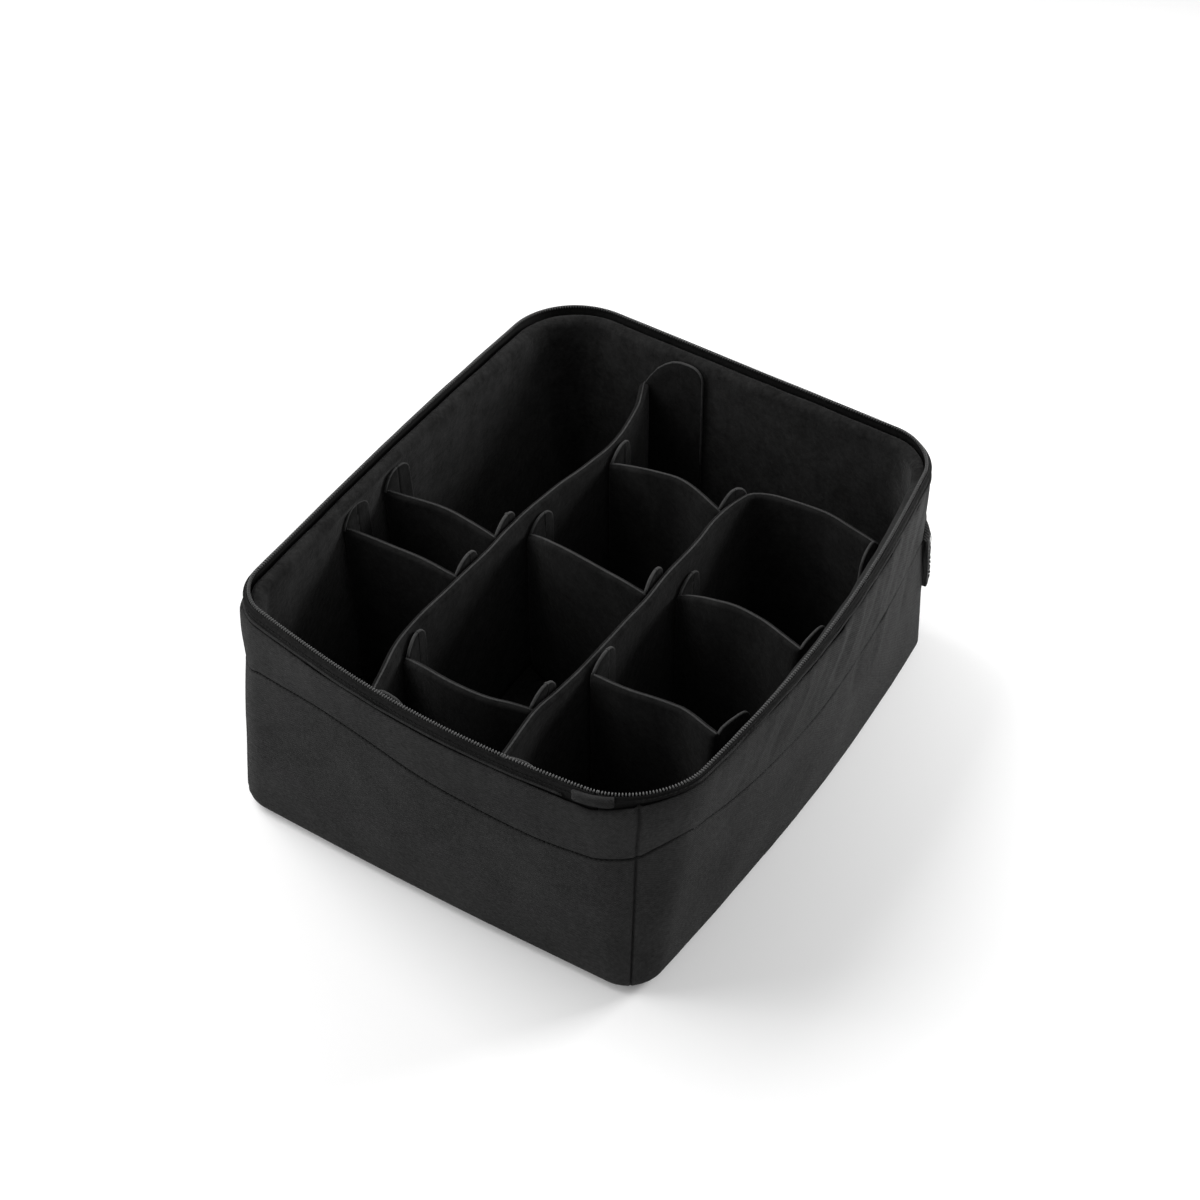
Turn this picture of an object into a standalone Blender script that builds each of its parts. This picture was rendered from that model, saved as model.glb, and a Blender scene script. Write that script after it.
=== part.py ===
"""Padded camera bag insert: an open soft case with a zip round its rim and loose padded dividers.

Metres, +Z up. The insert rests on z = 0 with the middle of its base at the origin. X runs from the left
wall to the right wall, and Y runs from the front wall to the back wall. The walls are swept along an
outline that changes from the base to the rim. An inset is a distance inwards from that outline.
"""

import math
from dataclasses import dataclass

import bmesh
import bpy
from mathutils import Vector

# Outline of the rim, at the top of the zip
HEIGHT = 0.156
RIM_HALF_X = 0.1439
RIM_HALF_Y = 0.1744
RIM_BOW_FRONT = 0.01585
RIM_BOW_RIGHT = 0.0147
RIM_BOW_BACK = 0.0
RIM_BOW_LEFT = 0.00365
RIM_CORNER_LEFT_FRONT = 0.0212
RIM_CORNER_RIGHT_FRONT = 0.0418
RIM_CORNER_RIGHT_BACK = 0.0297
RIM_CORNER_LEFT_BACK = 0.0508
RIM_SHIFT_X = -0.0002
RIM_SHIFT_Y = 0.0046
RIM_RACK_SHARES = (-0.05, -0.06)

# Outline of the base
BASE_HALF_X = 0.1413
BASE_HALF_Y = 0.1776
BASE_BOW_X = 0.007
BASE_BOW_Y = 0.002
BASE_CORNER = 0.020
BASE_RACK_SHARES = (0.0, 0.0)

# Layers of a wall, from the outside in, and the clearance between two layers
SKIN = 0.0015
FOAM = 0.011
LINING = 0.0015
GAP = 0.0003
WALL_LEAN = 0.0036

# Layers of the floor, from the ground up
BASE_SKIN = 0.0015
BOARD = 0.0025
FLOOR_FOAM = 0.008
FLOOR_LINING = 0.0015

# Outer cover
ROLL_RADIUS = 0.0095
BAND_SWELL = 0.0035
BAND_SWELL_START_DROP = 0.040
BAND_SWELL_FULL_DROP = 0.018
BAND_SWELL_END_DROP = 0.012
BAND_TOP_INSET = -0.0022
BAND_TOP_DROP = 0.0095
BAND_LIP_DROP = 0.009

# Zip: a tape that stands up, teeth on its inner side and a folded tab over its ends
TAPE_THICKNESS = 0.0012
TAPE_FOOT_DROP = 0.022
TAPE_TOP_DROP = 0.0015
TEETH_THICKNESS = 0.0016
TEETH_HEIGHT = 0.0032
TAPE_END_CLEARANCE = 0.0008
TAB_COVER_THICKNESS = 0.003
TAB_COVER_HEIGHT = 0.0062
TAB_COVER_START_SHARE = 0.737
TAB_COVER_END_SHARE = 0.869

# Padding and lining
FOAM_TOP_DROP = 0.0075
FOAM_STEP_DROP = 0.024
FOAM_TOP_RADIUS = 0.004

# Webbing handle on the back wall, sewn into the two back corner seams
HANDLE_WIDTH = 0.038
HANDLE_THICKNESS = 0.0022
HANDLE_STANDOFF = 0.0088
HANDLE_TOP_DROP = 0.001
HANDLE_SWEEP_POWER = 8

# Dividers
DIVIDER_THICKNESS = 0.006
DIVIDER_TOP = 0.133
DIVIDER_CLEARANCE = 0.0016
DIVIDER_END_MARGIN = 0.007
DIVIDER_STEP = 0.014
DIVIDER_TURN_STEP = math.radians(9)
DROOP_LENGTH = 0.045
FLAP_THICKNESS = 0.002
FLAP_FOOT = 0.020
FLAP_CORNER = 0.008
FLAP_RISE = 0.008
FLAP_SLOPE_LENGTH = 0.011
WALL_FLAP_WIDTH = 0.024
PANEL_FLAP_WIDTH = 0.021
BACK_FLAP_WIDTH = 0.043
BACK_FLAP_RISE = 0.0255
BACK_FLAP_SLOPE_LENGTH = 0.028
FLAP_HINGE_CLEARANCE = 0.0005
FLAP_NORMAL_REACH = 0.003

# How finely the outline is cut: columns on each half corner and on the run between two corners
ARC_COLUMNS = 4
RUN_COLUMNS = 8
SIDE_COLUMNS = RUN_COLUMNS + 2 * ARC_COLUMNS
ALL_COLUMNS = 4 * SIDE_COLUMNS
SLOPE_STEP_SHARE = 0.01

SIDES = ("front", "right", "back", "left")
CORNER_SIGNS = ((-1, -1), (1, -1), (1, 1), (-1, 1))

# Height of the seam under the rim band, as a share of the height, at shares of the way round the outline
SEAM_SHARES = (
    (0.0, 0.692),
    (0.039, 0.690),
    (0.070, 0.715),
    (0.086, 0.728),
    (0.109, 0.712),
    (0.133, 0.680),
    (0.168, 0.650),
    (0.195, 0.672),
    (0.223, 0.690),
    (0.246, 0.700),
    (0.281, 0.695),
    (0.324, 0.650),
    (0.352, 0.610),
    (0.383, 0.595),
    (0.418, 0.615),
    (0.445, 0.640),
    (0.760, 0.640),
    (0.880, 0.665),
    (1.0, 0.692),
)

# Where the two long dividers run, as shares of the rim's half sizes. The first and last point of each
# list only give the direction in which the divider meets what it is stuck to.
LONG_LEFT_SHARES = (
    (-0.224, -1.014),
    (-0.260, -0.936),
    (-0.318, -0.793),
    (-0.354, -0.668),
    (-0.361, -0.537),
    (-0.361, -0.239),
    (-0.368, -0.119),
    (-0.376, 0.0),
    (-0.368, 0.149),
    (-0.347, 0.298),
    (-0.325, 0.450),
    (-0.322, 0.540),
    (-0.338, 0.620),
    (-0.358, 0.700),
    (-0.388, 0.775),
    (-0.433, 0.855),
    (-0.478, 0.920),
    (-0.520, 0.985),
)
LONG_RIGHT_SHARES = (
    (0.347, -0.954),
    (0.318, -0.745),
    (0.332, -0.566),
    (0.340, -0.447),
    (0.332, -0.298),
    (0.332, -0.119),
    (0.318, 0.060),
    (0.318, 0.239),
    (0.311, 0.405),
    (0.325, 0.477),
    (0.347, 0.525),
    (0.405, 0.555),
    (0.506, 0.572),
    (0.737, 0.572),
    (0.918, 0.519),
    (1.033, 0.465),
)

# Where the seven short dividers run, as shares of the rim's half sizes
LEFT_FRONT_SHARES = ((-0.961, -0.358), (-0.723, -0.355), (-0.368, -0.343))
LEFT_BACK_SHARES = ((-0.961, -0.125), (-0.723, -0.098), (-0.390, -0.110))
MIDDLE_FRONT_SHARES = (
    (-0.310, -0.725),
    (-0.160, -0.765),
    (-0.054, -0.784),
    (0.049, -0.784),
    (0.136, -0.773),
    (0.205, -0.753),
    (0.311, -0.712),
)
MIDDLE_CENTRE_SHARES = (
    (-0.343, 0.030),
    (-0.265, -0.010),
    (-0.180, -0.040),
    (0.0, -0.066),
    (0.296, -0.083),
)
MIDDLE_BACK_SHARES = (
    (-0.291, 0.461),
    (-0.200, 0.463),
    (-0.044, 0.468),
    (0.050, 0.471),
    (0.160, 0.450),
    (0.311, 0.408),
)
RIGHT_FRONT_SHARES = (
    (0.370, -0.499),
    (0.474, -0.510),
    (0.567, -0.514),
    (0.705, -0.503),
    (0.792, -0.502),
    (0.929, -0.535),
    (1.033, -0.565),
)
RIGHT_BACK_SHARES = (
    (0.350, 0.051),
    (0.420, 0.030),
    (0.476, 0.014),
    (0.552, 0.002),
    (0.667, 0.002),
    (0.815, -0.018),
    (0.922, -0.046),
    (1.033, -0.085),
)

# How much lower a divider's top edge is at its start and at its end, as shares of the height
DROOP_SHARES = {
    "long_left": (0.0, 0.070),
    "long_right": (0.0, 0.0),
    "left_front": (-0.026, 0.026),
    "left_back": (-0.026, 0.026),
    "middle_front": (0.058, 0.026),
    "middle_centre": (0.083, 0.026),
    "middle_back": (0.048, 0.026),
    "right_front": (0.020, -0.038),
    "right_back": (0.120, -0.032),
}

# Heights at which a wall, a divider and a flap are cut, as shares of their own height
WALL_LEVEL_SHARES = (0.0, 0.33, 0.67, 1.0)
PANEL_LEVEL_SHARES = (0.0, 0.25, 0.5, 0.75)
# A divider's rounded top edge: how far below the top in half thicknesses, and the half thickness left
PANEL_EDGE_SHARES = ((0.8, 1.0), (0.2, 0.73), (0.0, 0.3))
FLAP_LEVEL_SHARES = (0.0, 0.25, 0.5, 0.75, 0.92, 1.0)
FLAP_CORNER_SHARES = (0.0, 0.15, 0.5, 1.0)
FLAP_FOLD_SHARES = (0.0, 0.25, 0.55, 1.0)
FLAP_MIDDLE_SHARES = (0.33, 0.67)
HANDLE_COLUMN_SHARES = (
    0.0,
    0.03,
    0.06,
    0.09,
    0.125,
    0.19,
    0.25,
    0.375,
    0.5,
    0.625,
    0.75,
    0.81,
    0.875,
    0.91,
    0.94,
    0.97,
    1.0,
)

# Colour, roughness
MATERIALS = {
    "outer_nylon": ((0.035, 0.035, 0.038, 1.0), 0.8),
    "zip_tape": ((0.02, 0.02, 0.022, 1.0), 0.85),
    "zip_teeth": ((0.16, 0.16, 0.17, 1.0), 0.45),
    "webbing": ((0.012, 0.012, 0.013, 1.0), 0.75),
    "lining_velour": ((0.018, 0.018, 0.019, 1.0), 0.95),
    "foam": ((0.12, 0.12, 0.12, 1.0), 0.9),
    "base_board": ((0.2, 0.19, 0.17, 1.0), 0.7),
    "divider_velour": ((0.022, 0.022, 0.023, 1.0), 0.95),
    "flap_velour": ((0.02, 0.02, 0.021, 1.0), 0.95),
}

# Heights of the floor's layers
BOARD_FOOT = BASE_SKIN + GAP
FLOOR_FOAM_FOOT = BOARD_FOOT + BOARD + GAP
FLOOR_LINING_FOOT = FLOOR_FOAM_FOOT + FLOOR_FOAM + GAP
FLOOR_TOP = FLOOR_LINING_FOOT + FLOOR_LINING
DIVIDER_FOOT = FLOOR_TOP + GAP

# Insets of a wall's layers at the floor
FOAM_INSET = SKIN + GAP
FOAM_INNER_INSET = FOAM_INSET + FOAM
LINING_INSET = FOAM_INNER_INSET + GAP
CAVITY_INSET = LINING_INSET + LINING
TAPE_INSET = -TAPE_THICKNESS / 2
TEETH_INSET = TAPE_THICKNESS / 2 + GAP
FOAM_TOP = HEIGHT - FOAM_TOP_DROP
ROUND_CENTRE_Z = FOAM_TOP - FOAM_TOP_RADIUS


@dataclass(frozen=True)
class Outline:
    """A rounded rectangle whose sides bow outwards, racked and shifted, seen from above."""

    half_x: float
    half_y: float
    corners: tuple
    bows: tuple
    rack_shares: tuple
    shift: tuple

    def corner(self, index, degrees):
        """A point on the round corner with this index, at an angle from +X."""
        index = index % len(CORNER_SIGNS)
        sign_x, sign_y = CORNER_SIGNS[index]
        radius = self.corners[index]
        angle = math.radians(degrees)
        x = sign_x * (self.half_x - radius) + radius * math.cos(angle)
        y = sign_y * (self.half_y - radius) + radius * math.sin(angle)
        return Vector((x, y))

    def rounded(self, column):
        """The plain rounded rectangle at a column, counted from the middle of the left front corner."""
        side, place = divmod(column % ALL_COLUMNS, SIDE_COLUMNS)
        side = int(side)
        square = 270 + 90 * side
        if place < ARC_COLUMNS:
            return self.corner(side, square - 45 + 45 * place / ARC_COLUMNS)
        if place > ARC_COLUMNS + RUN_COLUMNS:
            past = place - ARC_COLUMNS - RUN_COLUMNS
            return self.corner(side + 1, square + 45 * past / ARC_COLUMNS)
        start = self.corner(side, square)
        return start.lerp(self.corner(side + 1, square), (place - ARC_COLUMNS) / RUN_COLUMNS)

    def point(self, column):
        """The finished outline at a column."""
        x, y = self.rounded(column)
        front, right, back, left = self.bows
        share_x = x / self.half_x
        share_y = y / self.half_y
        bow_x = (right if x > 0 else left) * share_x * abs(share_x)
        bow_y = (back if y > 0 else front) * share_y * abs(share_y)
        bowed_x = x + bow_x * math.cos(math.pi * share_y / 2)
        bowed_y = y + bow_y * math.cos(math.pi * share_x / 2)
        rack_x, rack_y = self.rack_shares
        shift_x, shift_y = self.shift
        return Vector((bowed_x + rack_x * bowed_y + shift_x, bowed_y + rack_y * bowed_x + shift_y))


RIM = Outline(
    RIM_HALF_X,
    RIM_HALF_Y,
    (RIM_CORNER_LEFT_FRONT, RIM_CORNER_RIGHT_FRONT, RIM_CORNER_RIGHT_BACK, RIM_CORNER_LEFT_BACK),
    (RIM_BOW_FRONT, RIM_BOW_RIGHT, RIM_BOW_BACK, RIM_BOW_LEFT),
    RIM_RACK_SHARES,
    (RIM_SHIFT_X, RIM_SHIFT_Y),
)
BASE = Outline(
    BASE_HALF_X,
    BASE_HALF_Y,
    (BASE_CORNER,) * 4,
    (BASE_BOW_Y, BASE_BOW_X, BASE_BOW_Y, BASE_BOW_X),
    BASE_RACK_SHARES,
    (0.0, 0.0),
)


def outline_point(column, z):
    """The outline at a height, between the base and the rim."""
    return BASE.point(column).lerp(RIM.point(column), z / HEIGHT)


def wall_point(column, inset, z, along=0.0):
    """A point at an inset from the outline, moved along the wall by a distance."""
    ahead = outline_point(column + SLOPE_STEP_SHARE, z)
    behind = outline_point(column - SLOPE_STEP_SHARE, z)
    tangent = (ahead - behind).normalized()
    inward = Vector((-tangent.y, tangent.x))
    return (outline_point(column, z) + inset * inward + along * tangent).to_3d() + Vector((0, 0, z))


def clear_scene():
    """Remove whatever the scene holds."""
    for obj in list(bpy.data.objects):
        bpy.data.objects.remove(obj, do_unlink=True)


def material(name):
    """The Principled material with this name, made once."""
    if name in bpy.data.materials:
        return bpy.data.materials[name]
    colour, roughness = MATERIALS[name]
    made = bpy.data.materials.new(name)
    made.use_nodes = True
    shader = made.node_tree.nodes["Principled BSDF"]
    shader.inputs["Base Color"].default_value = colour
    shader.inputs["Roughness"].default_value = roughness
    shader.inputs["Metallic"].default_value = 0.0
    made.diffuse_color = colour
    return made


def add_object(name, shape, material_name, origin, parent=None):
    """An object from a bmesh in world places, with its own origin and parent."""
    bmesh.ops.recalc_face_normals(shape, faces=shape.faces)
    bmesh.ops.translate(shape, verts=shape.verts, vec=-origin)
    mesh = bpy.data.meshes.new(name)
    shape.to_mesh(mesh)
    shape.free()
    mesh.shade_smooth()
    mesh.set_sharp_from_angle(angle=math.radians(35))
    mesh.materials.append(material(material_name))
    obj = bpy.data.objects.new(name, mesh)
    bpy.context.collection.objects.link(obj)
    obj.location = origin
    if parent is not None:
        obj.parent = parent
        obj.location = origin - parent.location
    return obj


def add_empty(name, origin):
    """An empty that a moving piece hangs on."""
    empty = bpy.data.objects.new(name, None)
    bpy.context.collection.objects.link(empty)
    empty.location = origin
    return empty


def add_split_quad(shape, corners):
    """Two triangles, cut from the first corner to the third."""
    first, second, third, fourth = corners
    shape.faces.new((first, second, third))
    shape.faces.new((first, third, fourth))


def ring_solid(rings):
    """A bmesh through rings of points. Each ring is one face's points out and the other's back.

    Both faces are cut along like diagonals, so that nested pieces keep an even clearance.
    """
    shape = bmesh.new()
    rows = [[shape.verts.new(point) for point in ring] for ring in rings]
    count = len(rows[0])
    for first, second in zip(rows, rows[1:]):
        for index in range(count):
            following = (index + 1) % count
            corners = (first[index], first[following], second[following], second[index])
            if index >= count // 2:
                corners = (*corners[1:], corners[0])
            add_split_quad(shape, corners)
    for row in (rows[0], rows[-1]):
        for index in range(count // 2 - 1):
            mirror = count - 1 - index
            add_split_quad(shape, (row[index], row[index + 1], row[mirror - 1], row[mirror]))
    return shape


def loop_solid(low, high):
    """A bmesh between two closed loops of points, each closed by one flat face."""
    shape = bmesh.new()
    rows = [[shape.verts.new(point) for point in loop] for loop in (low, high)]
    count = len(low)
    for index in range(count):
        following = (index + 1) % count
        shape.faces.new((rows[0][index], rows[0][following], rows[1][following], rows[1][index]))
    for row in rows:
        shape.faces.new(row)
    return shape


def column_run(start, end):
    """The columns from a start to an end, with every whole column between them."""
    whole = range(math.floor(start) + 1, math.ceil(end))
    return [start, *whole, end]


def seam_height(column):
    """The height of the seam under the rim band at a column."""
    place = column % ALL_COLUMNS / ALL_COLUMNS
    for (start, low), (end, high) in zip(SEAM_SHARES, SEAM_SHARES[1:]):
        if place <= end:
            break
    return HEIGHT * (low + (high - low) * (place - start) / (end - start))


def steady(section):
    """The same section at every column."""
    return lambda column: section


def swept_piece(name, section_at, columns, material_name, end_clearance):
    """A strip swept along the outline. Its section has two faces, as points of inset and height."""
    rings = []
    for column in columns:
        first_face, second_face = section_at(column)
        outline = [*first_face, *reversed(second_face)]
        along = 0.0
        if column == columns[0]:
            along = end_clearance
        if column == columns[-1]:
            along = -end_clearance
        rings.append([wall_point(column, inset, z, along) for inset, z in outline])
    return add_object(name, ring_solid(rings), material_name, Vector((0, 0, 0)))


def wall_levels(low, high):
    """Heights from low to high at which a tall wall is cut."""
    return [low + share * (high - low) for share in WALL_LEVEL_SHARES]


def arc_points(centre_inset, centre_z, radius, start, end, steps):
    """Section points on an arc, with angles in degrees from the direction of a growing inset."""
    points = []
    for step in range(steps + 1):
        angle = math.radians(start + (end - start) * step / steps)
        points.append((centre_inset + radius * math.cos(angle), centre_z + radius * math.sin(angle)))
    return points


def cover_section(column):
    """The outer cover's wall, from its rolled bottom edge up to the seam under the band."""
    centre_z = ROLL_RADIUS + GAP
    levels = wall_levels(centre_z, seam_height(column) - GAP / 2)[1:]
    outer = arc_points(ROLL_RADIUS, centre_z, ROLL_RADIUS, 270, 180, 5)
    inner = arc_points(ROLL_RADIUS, centre_z, ROLL_RADIUS - SKIN, 270, 180, 5)
    outer += [(0.0, z) for z in levels]
    inner += [(SKIN, z) for z in levels]
    return outer, inner


def band_outer_line(column):
    """The outer face of the rim band, which swells out and then turns in under the zip."""
    return [
        (0.0, seam_height(column) + GAP / 2),
        (-BAND_SWELL / 2, HEIGHT - BAND_SWELL_START_DROP),
        (-BAND_SWELL, HEIGHT - BAND_SWELL_FULL_DROP),
        (-BAND_SWELL, HEIGHT - BAND_SWELL_END_DROP),
        (BAND_TOP_INSET, HEIGHT - BAND_TOP_DROP),
        (TAPE_INSET - GAP, HEIGHT - BAND_LIP_DROP),
    ]


def band_section(column):
    """The rim band: its outer face, and the same face moved in by the skin's thickness."""
    outer = band_outer_line(column)
    inner = [(inset + SKIN, z) for inset, z in outer[:4]]
    inner.append((TAPE_INSET - GAP - SKIN / 2, HEIGHT - BAND_TOP_DROP - SKIN / 2))
    inner.append((TAPE_INSET - GAP, HEIGHT - BAND_LIP_DROP - SKIN))
    return outer, inner


def lean_inset(foot_inset, z):
    """An inner face's inset at a height: it leans outwards from the floor to its rounded top."""
    share = max(0.0, (z - DIVIDER_FOOT) / (ROUND_CENTRE_Z - DIVIDER_FOOT))
    return foot_inset - WALL_LEAN * share


def foam_section(column):
    """A wall's padding: behind the skins, stepped in behind the zip tape, round at its inner top."""
    centre_z = ROLL_RADIUS + GAP
    band = band_outer_line(column)
    low = wall_levels(centre_z, seam_height(column))[1:]
    step_z = HEIGHT - FOAM_STEP_DROP
    outer = arc_points(ROLL_RADIUS, centre_z, ROLL_RADIUS - SKIN - GAP, 270, 180, 3)
    outer += [(FOAM_INSET, z) for z in low]
    outer.append((band[1][0] + FOAM_INSET, band[1][1]))
    outer.append((band[1][0] + FOAM_INSET, step_z))
    outer.append((TEETH_INSET, step_z))
    outer.append((TEETH_INSET, FOAM_TOP))
    high = wall_levels(DIVIDER_FOOT, ROUND_CENTRE_Z)
    top_inset = lean_inset(FOAM_INNER_INSET, ROUND_CENTRE_Z) - FOAM_TOP_RADIUS
    foot_z = centre_z - ROLL_RADIUS + FOAM_INSET
    inner = [((ROLL_RADIUS + FOAM_INNER_INSET) / 2, foot_z), (FOAM_INNER_INSET, foot_z)]
    inner += [(lean_inset(FOAM_INNER_INSET, z), z) for z in high]
    inner += arc_points(top_inset, ROUND_CENTRE_Z, FOAM_TOP_RADIUS, 0, 90, 4)[1:]
    inner.append(((top_inset + TEETH_INSET) / 2, FOAM_TOP))
    return outer, inner


def lining_section():
    """A wall's lining: up the inner face of the padding and over its top to the zip tape."""
    levels = wall_levels(DIVIDER_FOOT, ROUND_CENTRE_Z)[:-1]
    top_inset = lean_inset(FOAM_INNER_INSET, ROUND_CENTRE_Z) - FOAM_TOP_RADIUS
    faces = []
    for foot_inset, radius in (
        (CAVITY_INSET, FOAM_TOP_RADIUS + GAP + LINING),
        (LINING_INSET, FOAM_TOP_RADIUS + GAP),
    ):
        face = [(lean_inset(foot_inset, z), z) for z in levels]
        face += arc_points(top_inset, ROUND_CENTRE_Z, radius, 0, 90, 4)
        face.append((TEETH_INSET, ROUND_CENTRE_Z + radius))
        faces.append(face)
    return faces


def tape_section():
    """The zip tape: a thin strip that stands on the outline."""
    levels = (HEIGHT - TAPE_FOOT_DROP, HEIGHT - TAPE_TOP_DROP)
    return [[(TAPE_INSET, z) for z in levels], [(-TAPE_INSET, z) for z in levels]]


def teeth_section():
    """The row of teeth, on the inner side of the tape's top edge."""
    levels = (HEIGHT - TEETH_HEIGHT, HEIGHT)
    inner = TEETH_INSET + TEETH_THICKNESS
    return [[(TEETH_INSET, z) for z in levels], [(inner, z) for z in levels]]


def end_tab_section():
    """The folded tab sewn over the tape's ends, just above the band's turned-in edge."""
    foot = HEIGHT - BAND_LIP_DROP + GAP
    levels = (foot, foot + TAB_COVER_HEIGHT)
    inner = TAPE_INSET - GAP
    return [[(inner - TAB_COVER_THICKNESS, z) for z in levels], [(inner, z) for z in levels]]


def build_walls():
    """The cover, band, padding and lining of each side, which meet at the corners."""
    layers = (
        ("outer", cover_section, "outer_nylon"),
        ("band", band_section, "outer_nylon"),
        ("foam", foam_section, "foam"),
        ("lining", steady(lining_section()), "lining_velour"),
    )
    for index, side in enumerate(SIDES):
        start = index * SIDE_COLUMNS
        columns = column_run(start, start + SIDE_COLUMNS)
        for layer, section_at, material_name in layers:
            swept_piece(f"{layer}_{side}", section_at, columns, material_name, GAP / 2)


def build_floor():
    """The floor's four layers, each inside the walls."""
    layers = (
        ("base_outer", ROLL_RADIUS + GAP, 0.0, BASE_SKIN, "outer_nylon"),
        ("base_board", LINING_INSET, BOARD_FOOT, BOARD, "base_board"),
        ("base_foam", LINING_INSET, FLOOR_FOAM_FOOT, FLOOR_FOAM, "foam"),
        ("base_lining", LINING_INSET, FLOOR_LINING_FOOT, FLOOR_LINING, "lining_velour"),
    )
    for name, inset, foot, height, material_name in layers:
        loops = [
            [wall_point(column, inset, z) for column in range(ALL_COLUMNS)] for z in (foot, foot + height)
        ]
        add_object(name, loop_solid(*loops), material_name, Vector((0, 0, 0)))


def build_zip():
    """The tape and its teeth, open under the end tab, and the tab."""
    tab_start = TAB_COVER_START_SHARE * SIDE_COLUMNS
    tab_end = TAB_COVER_END_SHARE * SIDE_COLUMNS
    split = (tab_start + tab_end) / 2
    columns = column_run(split, split + ALL_COLUMNS)
    clearance = TAPE_END_CLEARANCE / 2
    swept_piece("zip_tape", steady(tape_section()), columns, "zip_tape", clearance)
    swept_piece("zip_teeth", steady(teeth_section()), columns, "zip_teeth", clearance)
    tab_columns = column_run(tab_start, tab_end)
    swept_piece("zip_end_tab", steady(end_tab_section()), tab_columns, "zip_tape", 0.0)


def build_handle():
    """The webbing handle, sewn in at the two back corner seams and slack between them."""
    start = SIDES.index("back") * SIDE_COLUMNS
    top = seam_height(start) - HANDLE_TOP_DROP
    levels = (top - HANDLE_WIDTH, top)
    rings = []
    for share in HANDLE_COLUMN_SHARES:
        column = start + share * SIDE_COLUMNS
        slack = HANDLE_STANDOFF * (1 - abs(1 - 2 * share) ** HANDLE_SWEEP_POWER)
        inner = -GAP - slack
        outer = inner - HANDLE_THICKNESS
        face = [wall_point(column, outer, z) for z in levels]
        face += [wall_point(column, inner, z) for z in reversed(levels)]
        rings.append(face)
    add_object("handle_webbing", ring_solid(rings), "webbing", Vector((0, 0, 0)))


def plan_points(shares):
    """Points seen from above, from shares of the rim's half sizes."""
    return [Vector((share_x * RIM_HALF_X, share_y * RIM_HALF_Y)) for share_x, share_y in shares]


def curve_slopes(points):
    """The direction in which a smooth curve passes each of its points."""
    steps = [(b - a).normalized() for a, b in zip(points, points[1:])]
    lengths = [(b - a).length for a, b in zip(points, points[1:])]
    slopes = [steps[0]]
    for index in range(1, len(steps)):
        before = lengths[index - 1]
        after = lengths[index]
        slopes.append((steps[index - 1] * after + steps[index] * before) / (before + after))
    return [*slopes, steps[-1]]


def smooth_path(points):
    """A smooth path through plan points, cut finely where it is long or turns."""
    slopes = curve_slopes(points)
    path = [points[0]]
    for index, (start, end) in enumerate(zip(points, points[1:])):
        length = (end - start).length
        turn = slopes[index].angle(slopes[index + 1])
        cuts = max(1, math.ceil(length / DIVIDER_STEP), math.ceil(turn / DIVIDER_TURN_STEP))
        for cut in range(1, cuts + 1):
            path.append(curve_point(start, end, slopes[index : index + 2], cut / cuts))
    return path


def curve_point(start, end, slopes, share):
    """A point on the cubic curve between two points, given its directions at both ends."""
    length = (end - start).length
    first, second = slopes
    square = share * share
    cube = square * share
    place = start * (2 * cube - 3 * square + 1) + end * (3 * square - 2 * cube)
    bend = first * (cube - 2 * square + share) + second * (cube - square)
    return place + bend * length


def moved_line(path, distance):
    """The path moved to its left by a distance."""
    line = []
    for index, point in enumerate(path):
        before = path[max(index - 1, 0)]
        after = path[min(index + 1, len(path) - 1)]
        along = (after - before).normalized()
        line.append(point + distance * Vector((-along.y, along.x)))
    return line


def crossing(origin, direction, line):
    """The nearest place ahead where a ray meets a line: how far, on which step, and its share of it."""
    nearest = None
    for index, (start, end) in enumerate(zip(line, line[1:])):
        edge = end - start
        turn = direction.cross(edge)
        if turn == 0:
            continue
        offset = start - origin
        reach = offset.cross(edge) / turn
        share = offset.cross(direction) / turn
        if reach > 0 and 0 <= share <= 1 and (nearest is None or reach < nearest[0]):
            nearest = (reach, index, share)
    return nearest


def distance_to_line(point, line):
    """How far a plan point is from a line of points."""
    nearest = math.inf
    for start, end in zip(line, line[1:]):
        edge = end - start
        share = min(1.0, max(0.0, (point - start).dot(edge) / edge.length_squared))
        nearest = min(nearest, (start + share * edge - point).length)
    return nearest


def cavity_line(z):
    """The inner face of the lining at a height, as a closed line of plan points."""
    inset = lean_inset(CAVITY_INSET, z)
    return [wall_point(column, inset, z).to_2d() for column in range(ALL_COLUMNS + 1)]


@dataclass(frozen=True)
class Flap:
    """A hook-and-loop flap at one end of a divider: which end, which way it lies, and its shape."""

    end: str
    toward: Vector
    width: float
    rise: float = FLAP_RISE
    slope_length: float = FLAP_SLOPE_LENGTH

    def stations(self):
        """The places along the flap's width at which it is cut, counted from its fold."""
        free_start = self.width - FLAP_CORNER
        span = free_start - self.slope_length
        stations = [share * self.slope_length for share in FLAP_FOLD_SHARES]
        stations += [self.slope_length + share * span for share in FLAP_MIDDLE_SHARES]
        return stations + [self.width - share * FLAP_CORNER for share in reversed(FLAP_CORNER_SHARES)]

    def top_drop(self, along):
        """How far the top edge lies under its highest part: it slopes to the fold and has a round corner."""
        fold_left = max(0.0, 1 - along / self.slope_length)
        free_left = max(0.0, along - self.width + FLAP_CORNER)
        return self.rise * fold_left**2 + FLAP_CORNER - math.sqrt(FLAP_CORNER**2 - free_left**2)


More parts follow.
